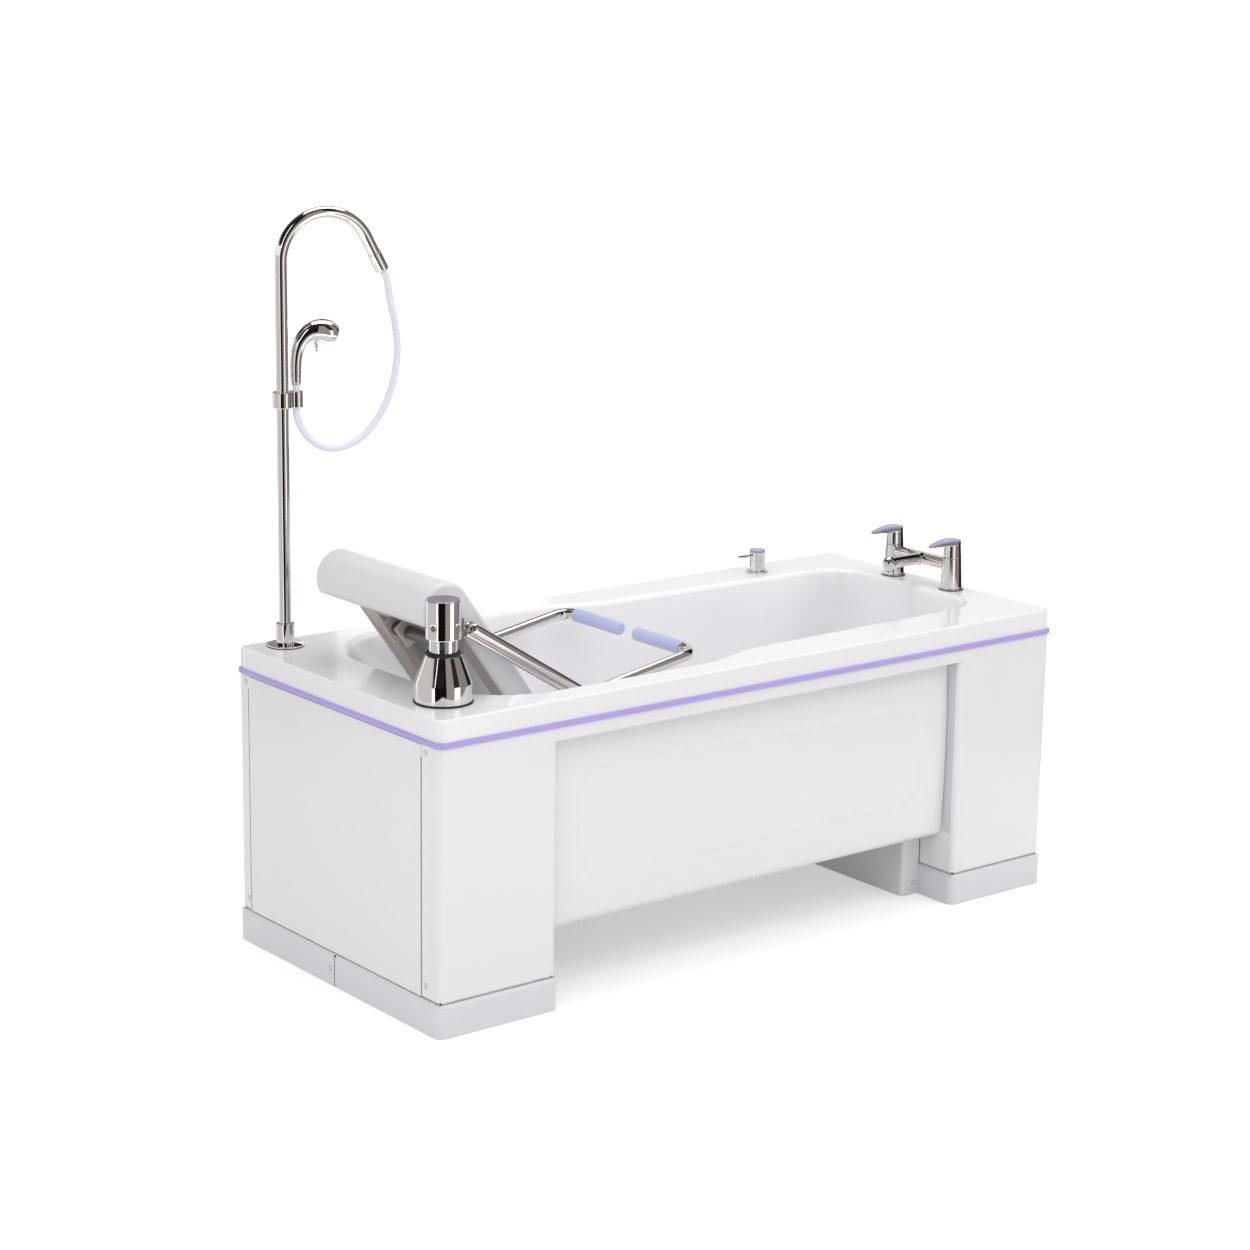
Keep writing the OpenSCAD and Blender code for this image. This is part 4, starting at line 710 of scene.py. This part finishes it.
def make_tub():
    lip, edge, band = 0.013, 0.005, RIM - BAND
    # The basin's outside from its floor up to the deck
    rings = [basin_ring(h, SHELL, FLOOR_Z - SHELL + h) for h in OUTER_STEPS]
    rings.append(basin_ring(DEPTH, SHELL + 0.01, RIM - SHELL))
    # The band's inside, its lower edge, its outside and its rounded upper edge
    rings += [rim_ring(*at) for at in ((SHELL, RIM - SHELL), (SHELL, band), (0.0006, band),
                                       (0, band + 0.0006), (0, band + 0.004), (0, RIM - edge - 0.002))]
    rings += [rim_ring(inset, RIM - drop) for inset, drop in corner(edge, 6)]
    # The deck and the round lip of the basin
    rings += [rim_ring(inset, RIM) for inset in (edge + 0.0015, 0.012, 0.024)]
    rings.append(basin_ring(DEPTH, lip + 0.008, RIM))
    rings += [basin_ring(DEPTH - drop, grow, RIM - drop) for drop, grow in corner(lip, 8)[:-1]]
    # The basin's inside, and its floor drawn in towards the middle
    rings += [basin_ring(h, 0, FLOOR_Z + h) for h in INNER_STEPS]
    floor, mid = rings[-1], place(0.95, MID, FLOOR_Z)
    rings += [[mid + (p - mid) * k for p in floor] for k in (0.8, 0.55, 0.3)]
    add_mesh("tub_moulding", lofted(rings), "tub_acrylic", "bath", "tub_shell", sharp=42)


# Seat moulding, in the upright plane along the bath
ROLL, ROLL_R = Vector((0.14, 0.828)), 0.057
SLOPE, TILT = radians(54), radians(4)
BACK_LENGTH, KNEE_R, PAN_LENGTH, NOSE = 0.545, 0.1, 0.33, 0.026
SEAT_NEAR, SEAT_FAR, CHEEK, SEAT_WALL = 0.175, 0.579, 0.058, 0.006


def arc_points(centre, r, start, end, steps):
    """Points and outward directions along an arc, angles in degrees."""
    ways = [heading(radians(a)) for a in even(start, end, steps)]
    return [(centre + r * way, way) for way in ways]


def seat_profile():
    """The seat's face from under the roll to the front roll: point, direction inwards, cheek depth."""
    down, front = heading(-SLOPE), heading(pi / 2 - SLOPE)
    pan, pan_up = heading(TILT), heading(pi / 2 + TILT)
    face = [(p, -way, ROLL_R) for p, way in arc_points(ROLL, ROLL_R, 213, 36, 34)]
    top = face[-1][0]
    face += [(top + run * down, -front, CHEEK) for run in even(0, BACK_LENGTH, 14)[1:]]
    knee = face[-1][0] + KNEE_R * front
    face += [(p, way, CHEEK) for p, way in arc_points(knee, KNEE_R, 216, 274, 14)[1:]]
    base = face[-1][0]
    face += [(base + run * pan, -pan_up, CHEEK) for run in even(0, PAN_LENGTH, 10)[1:]]
    nose = face[-1][0] - NOSE * pan_up
    return face + [(p, -way, NOSE) for p, way in arc_points(nose, NOSE, 94, -86, 16)[1:]]


def make_seat():
    edge, recess, soft = 0.01, 0.0022, 0.0015
    strips = []
    for p, inwards, depth in seat_profile():
        # Each side, as the distance in from it and the depth behind the face
        side = [(recess, edge + (depth - edge) * k) for k in (1.0, 0.72, 0.44)]
        side += [(recess, edge + 0.005), (recess * 0.5, edge + soft), (0.0, edge - soft)]
        side += [(edge * (1 - cos(a)), (edge - soft) * (1 - sin(a))) for a in quarter(6)[1:]]
        cheek = [(off, p + inwards * deep) for off, deep in side]
        row = [place(q.x, SEAT_NEAR + off, q.y) for off, q in cheek]
        row += [place(p.x, v, p.y) for v in even(SEAT_NEAR + edge, SEAT_FAR - edge, 10)[1:-1]]
        row += [place(q.x, SEAT_FAR - off, q.y) for off, q in reversed(cheek)]
        strips.append(row)
    form = lofted(strips, closed_ends=False, loop=False)
    obj = add_mesh("seat_moulding", form, "seat_plastic", "seat_lift", "seat_shell", sharp=None)
    bm = bmesh.new()
    bm.from_mesh(obj.data)
    bmesh.ops.remove_doubles(bm, verts=bm.verts, dist=0.0004)
    bmesh.ops.recalc_face_normals(bm, faces=bm.faces)
    top = max(bm.faces, key=lambda f: f.calc_center_median().z)
    if top.normal.z < 0:
        bmesh.ops.reverse_faces(bm, faces=bm.faces)
    bm.to_mesh(obj.data)
    bm.free()
    thicken(obj, SEAT_WALL)


# Lift column and its cap
COLUMN = (0.095, 0.124)
CAP_R, CAP_FLOOR, CAP_TOP = 0.036, 0.788, 0.867
KEY_CELL, KEY_R, KEY_DEEP, KEY_Z = 0.0025, 0.0063, 0.01, 0.813
KEY_CELLS, PER_KEY = 8, 20


def make_cap():
    """Cap of the lift column with its ring of four pressed key holes, each in a square of small cells."""
    r, cells, half = CAP_R, KEY_CELLS, KEY_CELLS // 2
    angles, centres = [], [radians(20 + 90 * k) for k in range(4)]
    for c in centres:
        reach = half * KEY_CELL / r
        angles += even(c - reach, c + reach, cells)
        angles += even(c + reach, c + pi / 2 - reach, PER_KEY - cells)[1:-1]
    wall = [(TINY, CAP_FLOOR), (r - 0.0008, CAP_FLOOR), (r - 0.0002, 0.7882), (r, 0.789), (r, 0.7896)]
    first = len(wall)
    wall += [(r, z) for z in even(KEY_Z - half * KEY_CELL, KEY_Z + half * KEY_CELL, cells)]
    wall += [(r, 0.84), (r, 0.8645), (r, 0.8652), (r - 0.0003, 0.8662), (r - 0.0011, 0.8669),
             (r - 0.0017, CAP_TOP), (r - 0.002, 0.8662), (r - 0.0026, 0.8661), (r - 0.0029, CAP_TOP),
             (r - 0.004, CAP_TOP), (TINY, CAP_TOP)]
    at = upright_at(*COLUMN)
    verts = [at(reach * cos(a), reach * sin(a), z) for reach, z in wall for a in angles]
    n = len(angles)
    faces, disc, dark = [], [], []
    for j in range(len(wall) - 1):
        for i in range(n):
            if first <= j < first + cells and i % PER_KEY < cells:
                continue
            a, b = j * n + i, j * n + (i + 1) % n
            faces.append((a, b, b + n, a + n))
            if j >= len(wall) - 3:
                disc.append(len(faces) - 1)
    # Each hole runs from the square's edge to its circle, and in to its floor
    edge = list(range(cells))
    loop = ([(i, 0) for i in edge] + [(cells, j) for j in edge] + [(cells - i, cells) for i in edge]
            + [(0, cells - j) for j in edge])
    heads = [atan2(j - half, i - half) for i, j in loop]
    for k, c in enumerate(centres):
        outer = [(first + j) * n + k * PER_KEY + i for i, j in loop]
        out, side = heading(c).to_3d(), heading(c + pi / 2).to_3d()
        centre = at(0, 0, KEY_Z)
        for size, depth in ((KEY_R + 0.0008, 0), (KEY_R + 0.0003, 0.0002), (KEY_R, 0.0008),
                            (KEY_R, KEY_DEEP), (TINY, KEY_DEEP)):
            inner = [len(verts) + i for i in range(len(loop))]
            for h in heads:
                x, z = size * cos(h), size * sin(h)
                verts.append(centre + out * (sqrt(r * r - x * x) - depth) + side * x + UP * z)
            for i in range(len(loop)):
                after = (i + 1) % len(loop)
                faces.append((outer[i], outer[after], inner[after], inner[i]))
                # The holes' floors are kept apart for a duller metal, as painted shade deep in the holes
                if depth == KEY_DEEP:
                    dark.append(len(faces) - 1)
            outer = inner
    obj = add_mesh("cap_pressed", (verts, faces), "chrome", "seat_lift", "column_cap")
    # The top disc takes a lilac-grey painted reflection, and the holes' floors a duller metal as painted
    # shade
    for slot, (material, marked) in enumerate((("cap_top_reflection", disc), ("seat_steel", dark)), 1):
        obj.data.materials.append(MATS[material])
        for i in marked:
            obj.data.polygons[i].material_index = slot


def make_column():
    at = upright_at(*COLUMN)
    column = turned(solid((0.029, 0.078), (0.029, 0.7882)), at, 0.0005)
    add_mesh("column_turned", column, "satin_chrome", "seat_lift", "lift_column")
    base = [(0.031, 0.751), (0.031, 0.755), (0.0365, 0.755), (0.0585, 0.698), (0.0585, 0.661),
            (0.0535, 0.661), (0.0535, 0.696), (0.031, 0.75), (0.031, 0.751)]
    add_mesh("base_turned", turned(base, at, 0.0012, 96, False), "chrome", "bath", "column_base")
    seal = [(0.0295, 0.7552), (0.0355, 0.7552), (0.036, 0.758), (0.0335, 0.7608), (0.0295, 0.761),
            (0.0295, 0.7552)]
    add_mesh("wiper_seal", turned(seal, at, closed_ends=False), "foot_rubber", "bath", "column_seal")


# Riser and handset
SLIDER = 0.03
HANDSET_FOOT, HANDSET_DIP = 1.2403, radians(25.35)
# Distance out from the pole, height above the handset's foot, and radius
HANDSET = [(0.03, 0, 0.0115), (0.0305, 0.025, 0.012), (0.034, 0.05, 0.013), (0.044, 0.072, 0.0155),
           (0.061, 0.087, 0.0195), (0.082, 0.091, 0.024), (0.102, 0.087, 0.0255), (0.114, 0.082, 0.022)]


def make_riser():
    base = solid((0.04, 0.6594), (0.04, 0.663), (0.0375, 0.6634), (0.0235, 0.6662), (0.02, 0.6668),
                 (0.02, 0.708), (0.0134, 0.708), (0.0132, 0.69))
    add_mesh("riser_flange", turned(base, riser_at(0), 0.001), "chrome", "bath", "riser_base")
    line = [on_riser(0, z) for z in (0.6663, 0.9, 1.2, 1.4)]
    line += [on_riser(*crook_at(turn)) for turn in even(0, CROOK_TURN, 48)]
    line += [tail_at(0.019), tail_at(0.038)]
    add_mesh("pole_bent", tube(line, POLE_R, ACROSS, 48), "chrome", "riser", "riser_pole", sharp=60)
    start = tail_at(0.03805)
    ferrule = solid((0.0145, 0), (0.0145, 0.0385), (0.0125, 0.042), (0.0082, 0.042), (0.008, 0.03))
    add_mesh("ferrule_turned", turned(ferrule, framed(start, tail_at(1) - start, ACROSS)), "chrome", "riser",
             "hose_ferrule")
    # The clamp's plan is a circle round the pole and one round the hose, joined where both are as wide
    pole, hose, neck = 0.021, 0.015, 0.009
    a, b = asin(neck / pole), pi - asin(neck / hose)
    plan = arc(0, 0, pole, a, 2 * pi - a, 40) + arc(SLIDER, 0, hose, -b, b, 32)
    clamp_form = slab(plan, 1.172, 1.206, 0.0012, riser_at(0), 3)
    add_mesh("clamp_cast", clamp_form, "chrome", "riser", "slider_clamp", sharp=60)
    nut = [(0.0077, 1.22), (0.0103, 1.22), (0.0106, 1.2222), (0.0102, 1.2232), (0.0108, 1.2244),
           (0.0115, 1.239), (0.0112, 1.24), (TINY, 1.24)]
    add_mesh("nut_turned", turned(nut, riser_at(SLIDER), 0.0004), "chrome", "riser", "handset_nut")


def make_handset():
    line = smooth_path(HANDSET, 8)
    centre = [on_riser(s, HANDSET_FOOT + z) for s, z, _ in line]
    radii = [r for _, _, r in line]
    tip = (HANDSET[-1][0], HANDSET_FOOT + HANDSET[-1][1])
    face = on_riser(*tip)
    facing = on_riser(tip[0] + cos(HANDSET_DIP), tip[1] - sin(HANDSET_DIP)) - face
    centre += [face + facing * run for run in (0.0008, 0.0009, 0.0003)]
    radii += [0.0216, 0.021, 0.0204]
    add_mesh("handset_swept", tube(centre, radii, ACROSS, 48), "chrome", "riser", "handset_body", sharp=50)
    put = framed(face, facing, ACROSS)
    plate = [(TINY, 0.0001), (0.02, 0.0001), (0.0197, 0.0022), (0.0182, 0.004), (0.015, 0.0043),
             (0.0145, 0.0038), (0.0085, 0.0038), (0.008, 0.0043), (TINY, 0.0046)]
    pip = [(TINY, 0.003), (0.0015, 0.003), (0.0013, 0.0048), (0.0007, 0.005), (TINY, 0.0046)]
    parts = [turned(plate, put, 0.0005)]
    for a in circle(10):
        at = put(0.0115 * cos(a), 0.0115 * sin(a), 0)
        parts.append(turned(pip, framed(at, facing, ACROSS), 0.0002, 16))
    add_mesh("spray_plate", joined(*parts), "spray_face", "riser", "handset_face")


# Bath tap and deck valve
TAP_U, TAP_VS, TAP_BAR_Z = 1.655, (0.279, 0.475), 0.716
SPOUT_RUN, SPOUT_BEND_R, SPOUT_R = 0.108, 0.017, 0.014
HANDLE_FLOOR, HANDLE_NECK = 0.7343, 0.0345
LEVER_ROOT, LEVER_TIP, LEVER_RUN = 0.0195, 0.006, 0.07
CREST_R, CREST_U, CREST_Z = 0.26, -0.01, 0.043
VALVE = (1.4, 0.682)


def make_tap():
    pillar = solid((0.025, 0.662), (0.025, 0.664), (0.0215, 0.734))
    rim = solid((0.0285, 0.6602), (0.0285, 0.6612), (0.0279, 0.662))
    parts = [turned(pillar, upright_at(TAP_U, v)) for v in TAP_VS]
    rims = [turned(rim, upright_at(TAP_U, v), 0.0003) for v in TAP_VS]
    span = TAP_VS[1] - TAP_VS[0]
    bridge = framed(place(TAP_U, TAP_VS[0], TAP_BAR_Z), (0, 1, 0))
    parts.append(turned(solid((0.015, 0), (0.015, span)), bridge))
    boss = framed(place(TAP_U, MID, TAP_BAR_Z), (-1, 0, 0))
    parts.append(turned(solid((0.016, 0), (0.016, 0.0198)), boss, 0.0012))
    add_mesh("tap_cast", joined(*parts), "chrome", "bath", "tap_body")
    add_mesh("tap_rims", joined(*rims), "chrome", "bath", "tap_flanges")
    end = arc(0, SPOUT_RUN, SPOUT_BEND_R, asin(SPOUT_R / SPOUT_BEND_R) - pi / 2, pi / 2 - 0.012, 20)
    spout = turned([(TINY, 0.0201), (SPOUT_R, 0.0201)] + end, boss, 0.0003)
    drop = solid((0.011, 0.716), (0.011, 0.6985), (0.0116, 0.6975), (0.0116, 0.6915), (0.0108, 0.691),
                 (0.0088, 0.691), (0.0085, 0.699))
    outlet = turned(drop, upright_at(TAP_U - SPOUT_RUN, MID), 0.0005)
    add_mesh("spout_bent", joined(spout, outlet), "chrome", "bath", "tap_spout")


def blade_plan():
    """Outline of the lever's blade: a round root, straight sides and a round tip."""
    side = [(-LEVER_RUN * t, LEVER_ROOT + (LEVER_TIP - LEVER_ROOT) * t) for t in even(0, 1, 22)[1:-1]]
    root = arc(0, 0, LEVER_ROOT, -pi / 2, pi / 2, 28)
    tip = arc(-LEVER_RUN, 0, LEVER_TIP, pi / 2, 1.5 * pi, 16)
    return root + side + tip + [(x, -y) for x, y in reversed(side)]


def crest(x, lift=0.0):
    """Height of the blade's arched top above the handle's floor."""
    return CREST_Z - CREST_R + sqrt((CREST_R + lift) ** 2 - (x - CREST_U) ** 2)


def blade(v, inset, under, lift, lower_edge, upper_edge):
    """The lever's arched blade, or the plate on it, as rings drawn in towards its middle line."""
    plan = blade_plan()

    def ring(reach, height, share=1.0):
        out = []
        for x, y in plan:
            spine = clamp(x, -LEVER_RUN, 0.0)
            k = share * max(1 - (inset + reach) / hypot(x - spine, y), 0.02)
            px, py = spine + (x - spine) * k, y * k
            out.append(place(TAP_U + px, v + py, HANDLE_FLOOR + height(px)))
        return out

    def lower(a):
        return ring(lower_edge * (1 - sin(a)), lambda x: under(x) + lower_edge * (1 - cos(a)))

    def upper(a):
        return ring(upper_edge * (1 - sin(a)), lambda x: crest(x, lift) - upper_edge * (1 - cos(a)))

    rings = [ring(0.0, under, 0.3)] + [lower(a) for a in (0.0, 0.8, pi / 2)]
    rings += [upper(a) for a in reversed(quarter(4))]
    rings += [ring(upper_edge, lambda x: crest(x, lift), share) for share in (0.8, 0.55, 0.3, 0.05)]
    return lofted(rings)


def lever_under(x):
    """The lever's underside, which falls a little towards its tip."""
    return 0.0312 - 0.0006 * clamp((-x - 0.0215) / 0.0665, 0, 1)


def plate_under(x):
    return crest(x, -0.0031)


def make_handles():
    top = HANDLE_FLOOR + HANDLE_NECK
    neck = solid((0.0215, HANDLE_FLOOR), (0.019, top))
    for v, side in zip(TAP_VS, ("near", "far")):
        lever = blade(v, 0.0, lever_under, lift=-0.0032, lower_edge=0.0008, upper_edge=0.0005)
        plate = blade(v, 0.0004, plate_under, lift=0.0016, lower_edge=0.0004, upper_edge=0.0014)
        body = side + "_handle"
        add_mesh(side + "_lever_cast", joined(turned(neck, upright_at(TAP_U, v)), lever), "chrome", body,
                 side + "_tap_handle")
        add_mesh(side + "_lever_plate", plate, "insert_lilac", body, side + "_handle_insert", sharp=50)


def make_valve():
    at = upright_at(*VALVE)
    body = solid((0.0265, 0.658), (0.0265, 0.66), (0.025, 0.6602), (0.025, 0.661), (0.026, 0.6612),
                 (0.026, 0.663), (0.0185, 0.6632), (0.0185, 0.688))
    add_mesh("valve_turned", turned(body, at, 0.0005), "chrome", "bath", "valve_body")
    sleeve = solid((0.0185, 0.6883), (0.0185, 0.7093))
    rod = solid((0.0034, 0), (0.0034, 0.0605), (0.0028, 0.062))
    tilt = radians(2)
    along = framed(place(*VALVE, 0.6988), (-cos(tilt), 0, sin(tilt)))
    lever = joined(turned(sleeve, at), turned(rod, along, 0.0006, 24))
    add_mesh("valve_sleeve", lever, "chrome", "valve_control", "valve_lever")
    cap = solid((0.0195, 0.7096), (0.0195, 0.7126), (0.01725, 0.7141))
    add_mesh("valve_button", turned(cap, at), "insert_lilac", "valve_control", "valve_cap", sharp=50)


# Armrests and grips: the straight run, turn and roll, in degrees, of each step of the tube
ARM_PIVOT, ARM_START = place(0.18799, 0.149, 0.787467), 122
ARM_STEPS = [(0.325, 42, 0), (0.244, 90, -90), (0.159, 0, 0)]
ARM_R, ARM_BEND, BALL_R = 0.013, 0.036, 0.01325


def arm_line():
    """Middle line of the armrest's tube, and the frames at its start and end."""
    def turned_to(degrees, axis):
        return Matrix.Rotation(radians(degrees), 4, axis)

    def bent(a):
        return Vector((ARM_BEND * (1 - cos(a)), 0, ARM_BEND * sin(a)))

    first = Matrix.Translation(ARM_PIVOT) @ turned_to(ARM_START, "Y") @ turned_to(180, "Z")
    m, line = first.copy(), [first.translation.copy()]
    for run, turn, roll in ARM_STEPS:
        line += [m @ Vector((0, 0, run * k)) for k in (0.5, 1)]
        m = m @ Matrix.Translation((0, 0, run)) @ turned_to(roll, "Z")
        if turn:
            line += [m @ bent(a) for a in even(0, radians(turn), 16)[1:]]
        m = m @ Matrix.Translation(bent(radians(turn))) @ turned_to(turn, "Y")
    return line, first, m


def make_armrests():
    line, first, last = arm_line()
    along_pivot = framed(ARM_PIVOT, (0, 1, 0))
    brace = solid((0.0061, -0.015), (0.0063, -0.013), (0.0063, 0.3245), (0.0061, 0.325))
    ball = [(max(BALL_R * sin(a), TINY), -BALL_R * cos(a)) for a in even(0, pi, 24)]
    arm = joined(tube(line, ARM_R, UP, 40),
                 turned(brace, lambda x, y, z: first @ Vector((x - 0.0155, y, z)), 0.001, 32),
                 turned(ball, along_pivot))
    flat, dome_r = 0.008, 0.007
    grip = [(0.01305, -0.1552), (0.014, -0.1552), (flat + dome_r, -0.154)]
    grip += arc(flat, 0, dome_r, 0, pi / 2, 8) + [(TINY, 0.0071)]
    sleeve = turned(grip, lambda x, y, z: last @ Vector((x, y, z)), 0.0003, 48)
    pivot = solid((0.006, -0.006), (0.006, 0.014), (0.0136, 0.0141), (0.014, 0.015), (0.014, 0.0259))
    boss = turned(pivot, along_pivot, 0.0005)
    for side, change in (("near", lambda form: form), ("far", mirrored)):
        body = side + "_arm"
        add_mesh(body + "_bent", change(arm), "chrome", body, side + "_armrest", sharp=50)
        add_mesh(side + "_grip_sleeve", change(sleeve), "grip_blue", body, side + "_grip", sharp=50)
    add_mesh("arm_bosses", joined(boss, mirrored(boss)), "chrome", "seat_lift", "armrest_pivots", sharp=50)


# Tub panels: an outwards curve with a soft recess
PANEL_U, PANEL_Z, PANEL_V, PANEL_BACK = (0.2893, 1.4187), (0.157, 0.5724), 0.032, 0.07
PANEL_CURVE, PANEL_MID_Z, PANEL_WALL = 3.59794, 0.3647, 0.004
RECESS_U, RECESS_Z, RECESS_R, RECESS_DEEP, RECESS_RAMP = (0.365, 1.3447), (0.246, 0.4904), 0.07, 0.0032, 0.01


def spaced(start, *stops):
    """Values along a line from a start and pairs of an end and the number of steps up to it."""
    out = [start]
    for end, steps in stops:
        out += even(out[-1], end, steps)[1:]
    return out


def recess_depth(u, z):
    (u0, u1), (z0, z1) = RECESS_U, RECESS_Z
    dx = abs(u - (u0 + u1) / 2) - (u1 - u0) / 2 + RECESS_R
    dz = abs(z - (z0 + z1) / 2) - (z1 - z0) / 2 + RECESS_R
    outside = hypot(max(dx, 0), max(dz, 0)) + min(max(dx, dz), 0) - RECESS_R
    return RECESS_DEEP * ease(-outside / RECESS_RAMP)


def make_panels():
    def face_v(z):
        return PANEL_V + PANEL_CURVE - sqrt(PANEL_CURVE ** 2 - (z - PANEL_MID_Z) ** 2)

    low, top, side = 0.02, 0.004, 0.008
    floor_z, roof_z = PANEL_Z
    rows = [(0.048, roof_z)]
    rows += [(face_v(roof_z) + inset, roof_z - drop) for drop, inset in corner(top, 4)]
    rows += [(face_v(z), z) for z in spaced(roof_z - top, (0.498, 9), (0.413, 30), (0.323, 6), (0.238, 30),
                                            (floor_z + low, 8))[1:]]
    rows += [(face_v(floor_z + low) + inset, floor_z + rise) for inset, rise in corner(low, 6)[1:]]
    rows.append((PANEL_BACK, floor_z))
    ends = [(0, 0.034)] + corner(side, 6)
    columns = [(PANEL_U[0] + u, dv) for u, dv in ends]
    middle = spaced(PANEL_U[0] + side, (0.357, 6), (0.442, 30), (1.267, 26), (1.353, 30),
                    (PANEL_U[1] - side, 6))
    columns += [(u, 0) for u in middle[1:-1]]
    columns += [(PANEL_U[1] - u, dv) for u, dv in reversed(ends)]
    strips = [[place(u, min(v + dv + recess_depth(u, z), PANEL_BACK), z) for u, dv in columns]
              for v, z in rows]
    sheet = lofted(strips, closed_ends=False, loop=False)
    for name, form, way in (("near", sheet, -1), ("far", mirrored(sheet), 1)):
        obj = add_mesh(name + "_panel_moulded", form, "panel_white", "bath", name + "_tub_panel", sharp=None)
        flat = max(obj.data.polygons, key=lambda p: abs(p.normal.y))
        if flat.normal.y * way < 0:
            obj.data.flip_normals()
        thicken(obj, PANEL_WALL)


# Bumper strip
def make_bumper():
    r, mid_z = RIM_CORNER, 0.6065
    corners = ((LENGTH - r, WIDTH - r), (r, WIDTH - r), (r, r), (LENGTH - r, r))

    def ring(out, z):
        return [place(cu + (r + out) * cos(k * pi / 2 + a), cv + (r + out) * sin(k * pi / 2 + a), mid_z + z)
                for k, (cu, cv) in enumerate(corners) for a in quarter(12)]

    half = [(-0.001, 0.006), (0.0026, 0.006), (0.0039, 0.0055), (0.0046, 0.0045), (0.005, 0.003),
            (0.005, 0.002)]
    profile = half + [(out, -z) for out, z in reversed(half)]
    form = lofted([ring(out, z) for out, z in profile], closed_ends=False)
    add_mesh("bumper_strip", form, "bumper_lilac", "bath", "bumper_trim", sharp=60)


# Painted shade under the flanges and in the joints and gaps, and the screws
def make_painted_shades():
    """Dark rings under the riser's and the tap's flanges, as painted contact shadow, and pale grey strips on
    the pods' inner sides, as painted shade in the gaps by the tub panels.
    """
    # Dark rings at the feet of the flanges: painted contact shadow
    under = RIM - 0.0001
    spots = [(0.0404, 0.6592, riser_at(0))] + [(0.0289, 0.66, upright_at(TAP_U, v)) for v in TAP_VS]
    rings = [turned([(TINY, under), (r, under), (r, top), (TINY, top)], at) for r, top, at in spots]
    add_mesh("flange_shadow_rings", joined(*rings), "foot_rubber", "bath")
    # Pale grey sheets on the pods' inner sides beside the tub panels: painted shade in the gaps
    strips = [box(u - 0.0002, u + 0.0002, v0, v1, PANEL_Z[0] + 0.01, PANEL_Z[1], 0.00008)
              for u in (0.2892, 1.4188) for v0, v1 in ((0.0125, 0.0385), (0.7155, 0.7415))]
    add_mesh("pod_gap_shades", joined(*strips), "pale_painted_shade", "bath")


def make_joints():
    """Dark strips and grey lines in the joints, as painted shade in the gaps, and the white backing down in
    the grooves above the plinths.
    """
    edge = 0.0002
    # Dark strips in the plinths' joints and beside the kick covers: painted shade in the gaps
    strips = [box(u0, u1, MID - 0.0008, MID + 0.0008, 0.001, 0.0697, edge)
              for u0, u1 in ((-0.0054, -0.002), (1.702, 1.7054))]
    strips += [box(u - 0.0009, u + 0.0009, v0, v1, 0.001, 0.152, edge)
               for u in (0.2898, 1.4182) for v0, v1 in ((0.1079, 0.11), (0.644, 0.6461))]
    # Grey lines along the end panels' joints: painted shadow of the panels' edges
    lines = [box(u0, u1, v - 0.0011, v + 0.0011, 0.0762, 0.5715, edge)
             for u0, u1 in ((-0.0003, 0.002), (1.698, 1.7003)) for v in (0.0634, 0.7148)]
    add_mesh("joint_shade_strips", joined(*strips), "foot_rubber", "bath")
    add_mesh("joint_shade_lines", joined(*lines), "grey_painted_shade", "bath")
    backing, deep, v0, v1 = [], 0.003, 0.006, 0.748
    for u0, u1 in ((0.006, 0.283), (1.425, 1.694)):
        for plan in ((u0, u1, v0, v0 + deep), (u0, u1, v1 - deep, v1), (u0, u0 + deep, v0, v1),
                     (u1 - deep, u1, v0, v1)):
            backing.append(box(*plan, 0.068, 0.08, 0.0003))
    add_mesh("groove_backing", joined(*backing), "panel_white", "bath")


def make_screws():
    """Heads of the cover screws on the ends, the plinths and the kick covers, with thin dark rings round
    them as painted shadow.
    """
    spots = []
    for u, way in ((0, -1), (LENGTH, 1)):
        spots += [(place(u + way * 0.0001, v, z), (way, 0, 0))
                  for z in (0.099, 0.5842) for v in (0.05, 0.726)]
        spots.append((place(u + way * 0.0051, MID + 0.02, 0.035), (way, 0, 0)))
    for u in (0.305, 1.403):
        spots += [(place(u, v, 0.027), (0, way, 0)) for v, way in ((0.1082, -1), (0.6458, 1))]
    head = [(TINY, 0.0002), (0.0054, 0.0002), (0.0053, 0.0007), (0.0045, 0.0015), (0.0026, 0.002),
            (0.0014, 0.002), (0.0012, 0.0012), (TINY, 0.0011)]
    # A dark grey ring under each head, which shows round it as painted shadow
    shadow_ring_line = [(TINY, -0.0003), (0.0061, -0.0003), (0.0061, 0.0003), (TINY, 0.0004)]
    heads = [turned(head, framed(at, way), 0.0003, 32) for at, way in spots]
    rings = [turned(shadow_ring_line, framed(at, way), 0.0002, 32) for at, way in spots]
    add_mesh("screw_domes", joined(*heads), "screw_cap", "bath", "cover_screws", 60)
    add_mesh("screw_shadow_rings", joined(*rings), "grey_painted_shade", "bath", None, 60)


# Build the pieces and the studio
make_hose()
make_world()
for light, values in LIGHTS.items():
    add_light(light, *values)
make_floor()
make_cards()
make_tub()
make_seat()
make_cap()
make_column()
make_riser()
make_handset()
make_tap()
make_handles()
make_valve()
make_armrests()
make_panels()
make_bumper()
make_painted_shades()
make_joints()
make_screws()
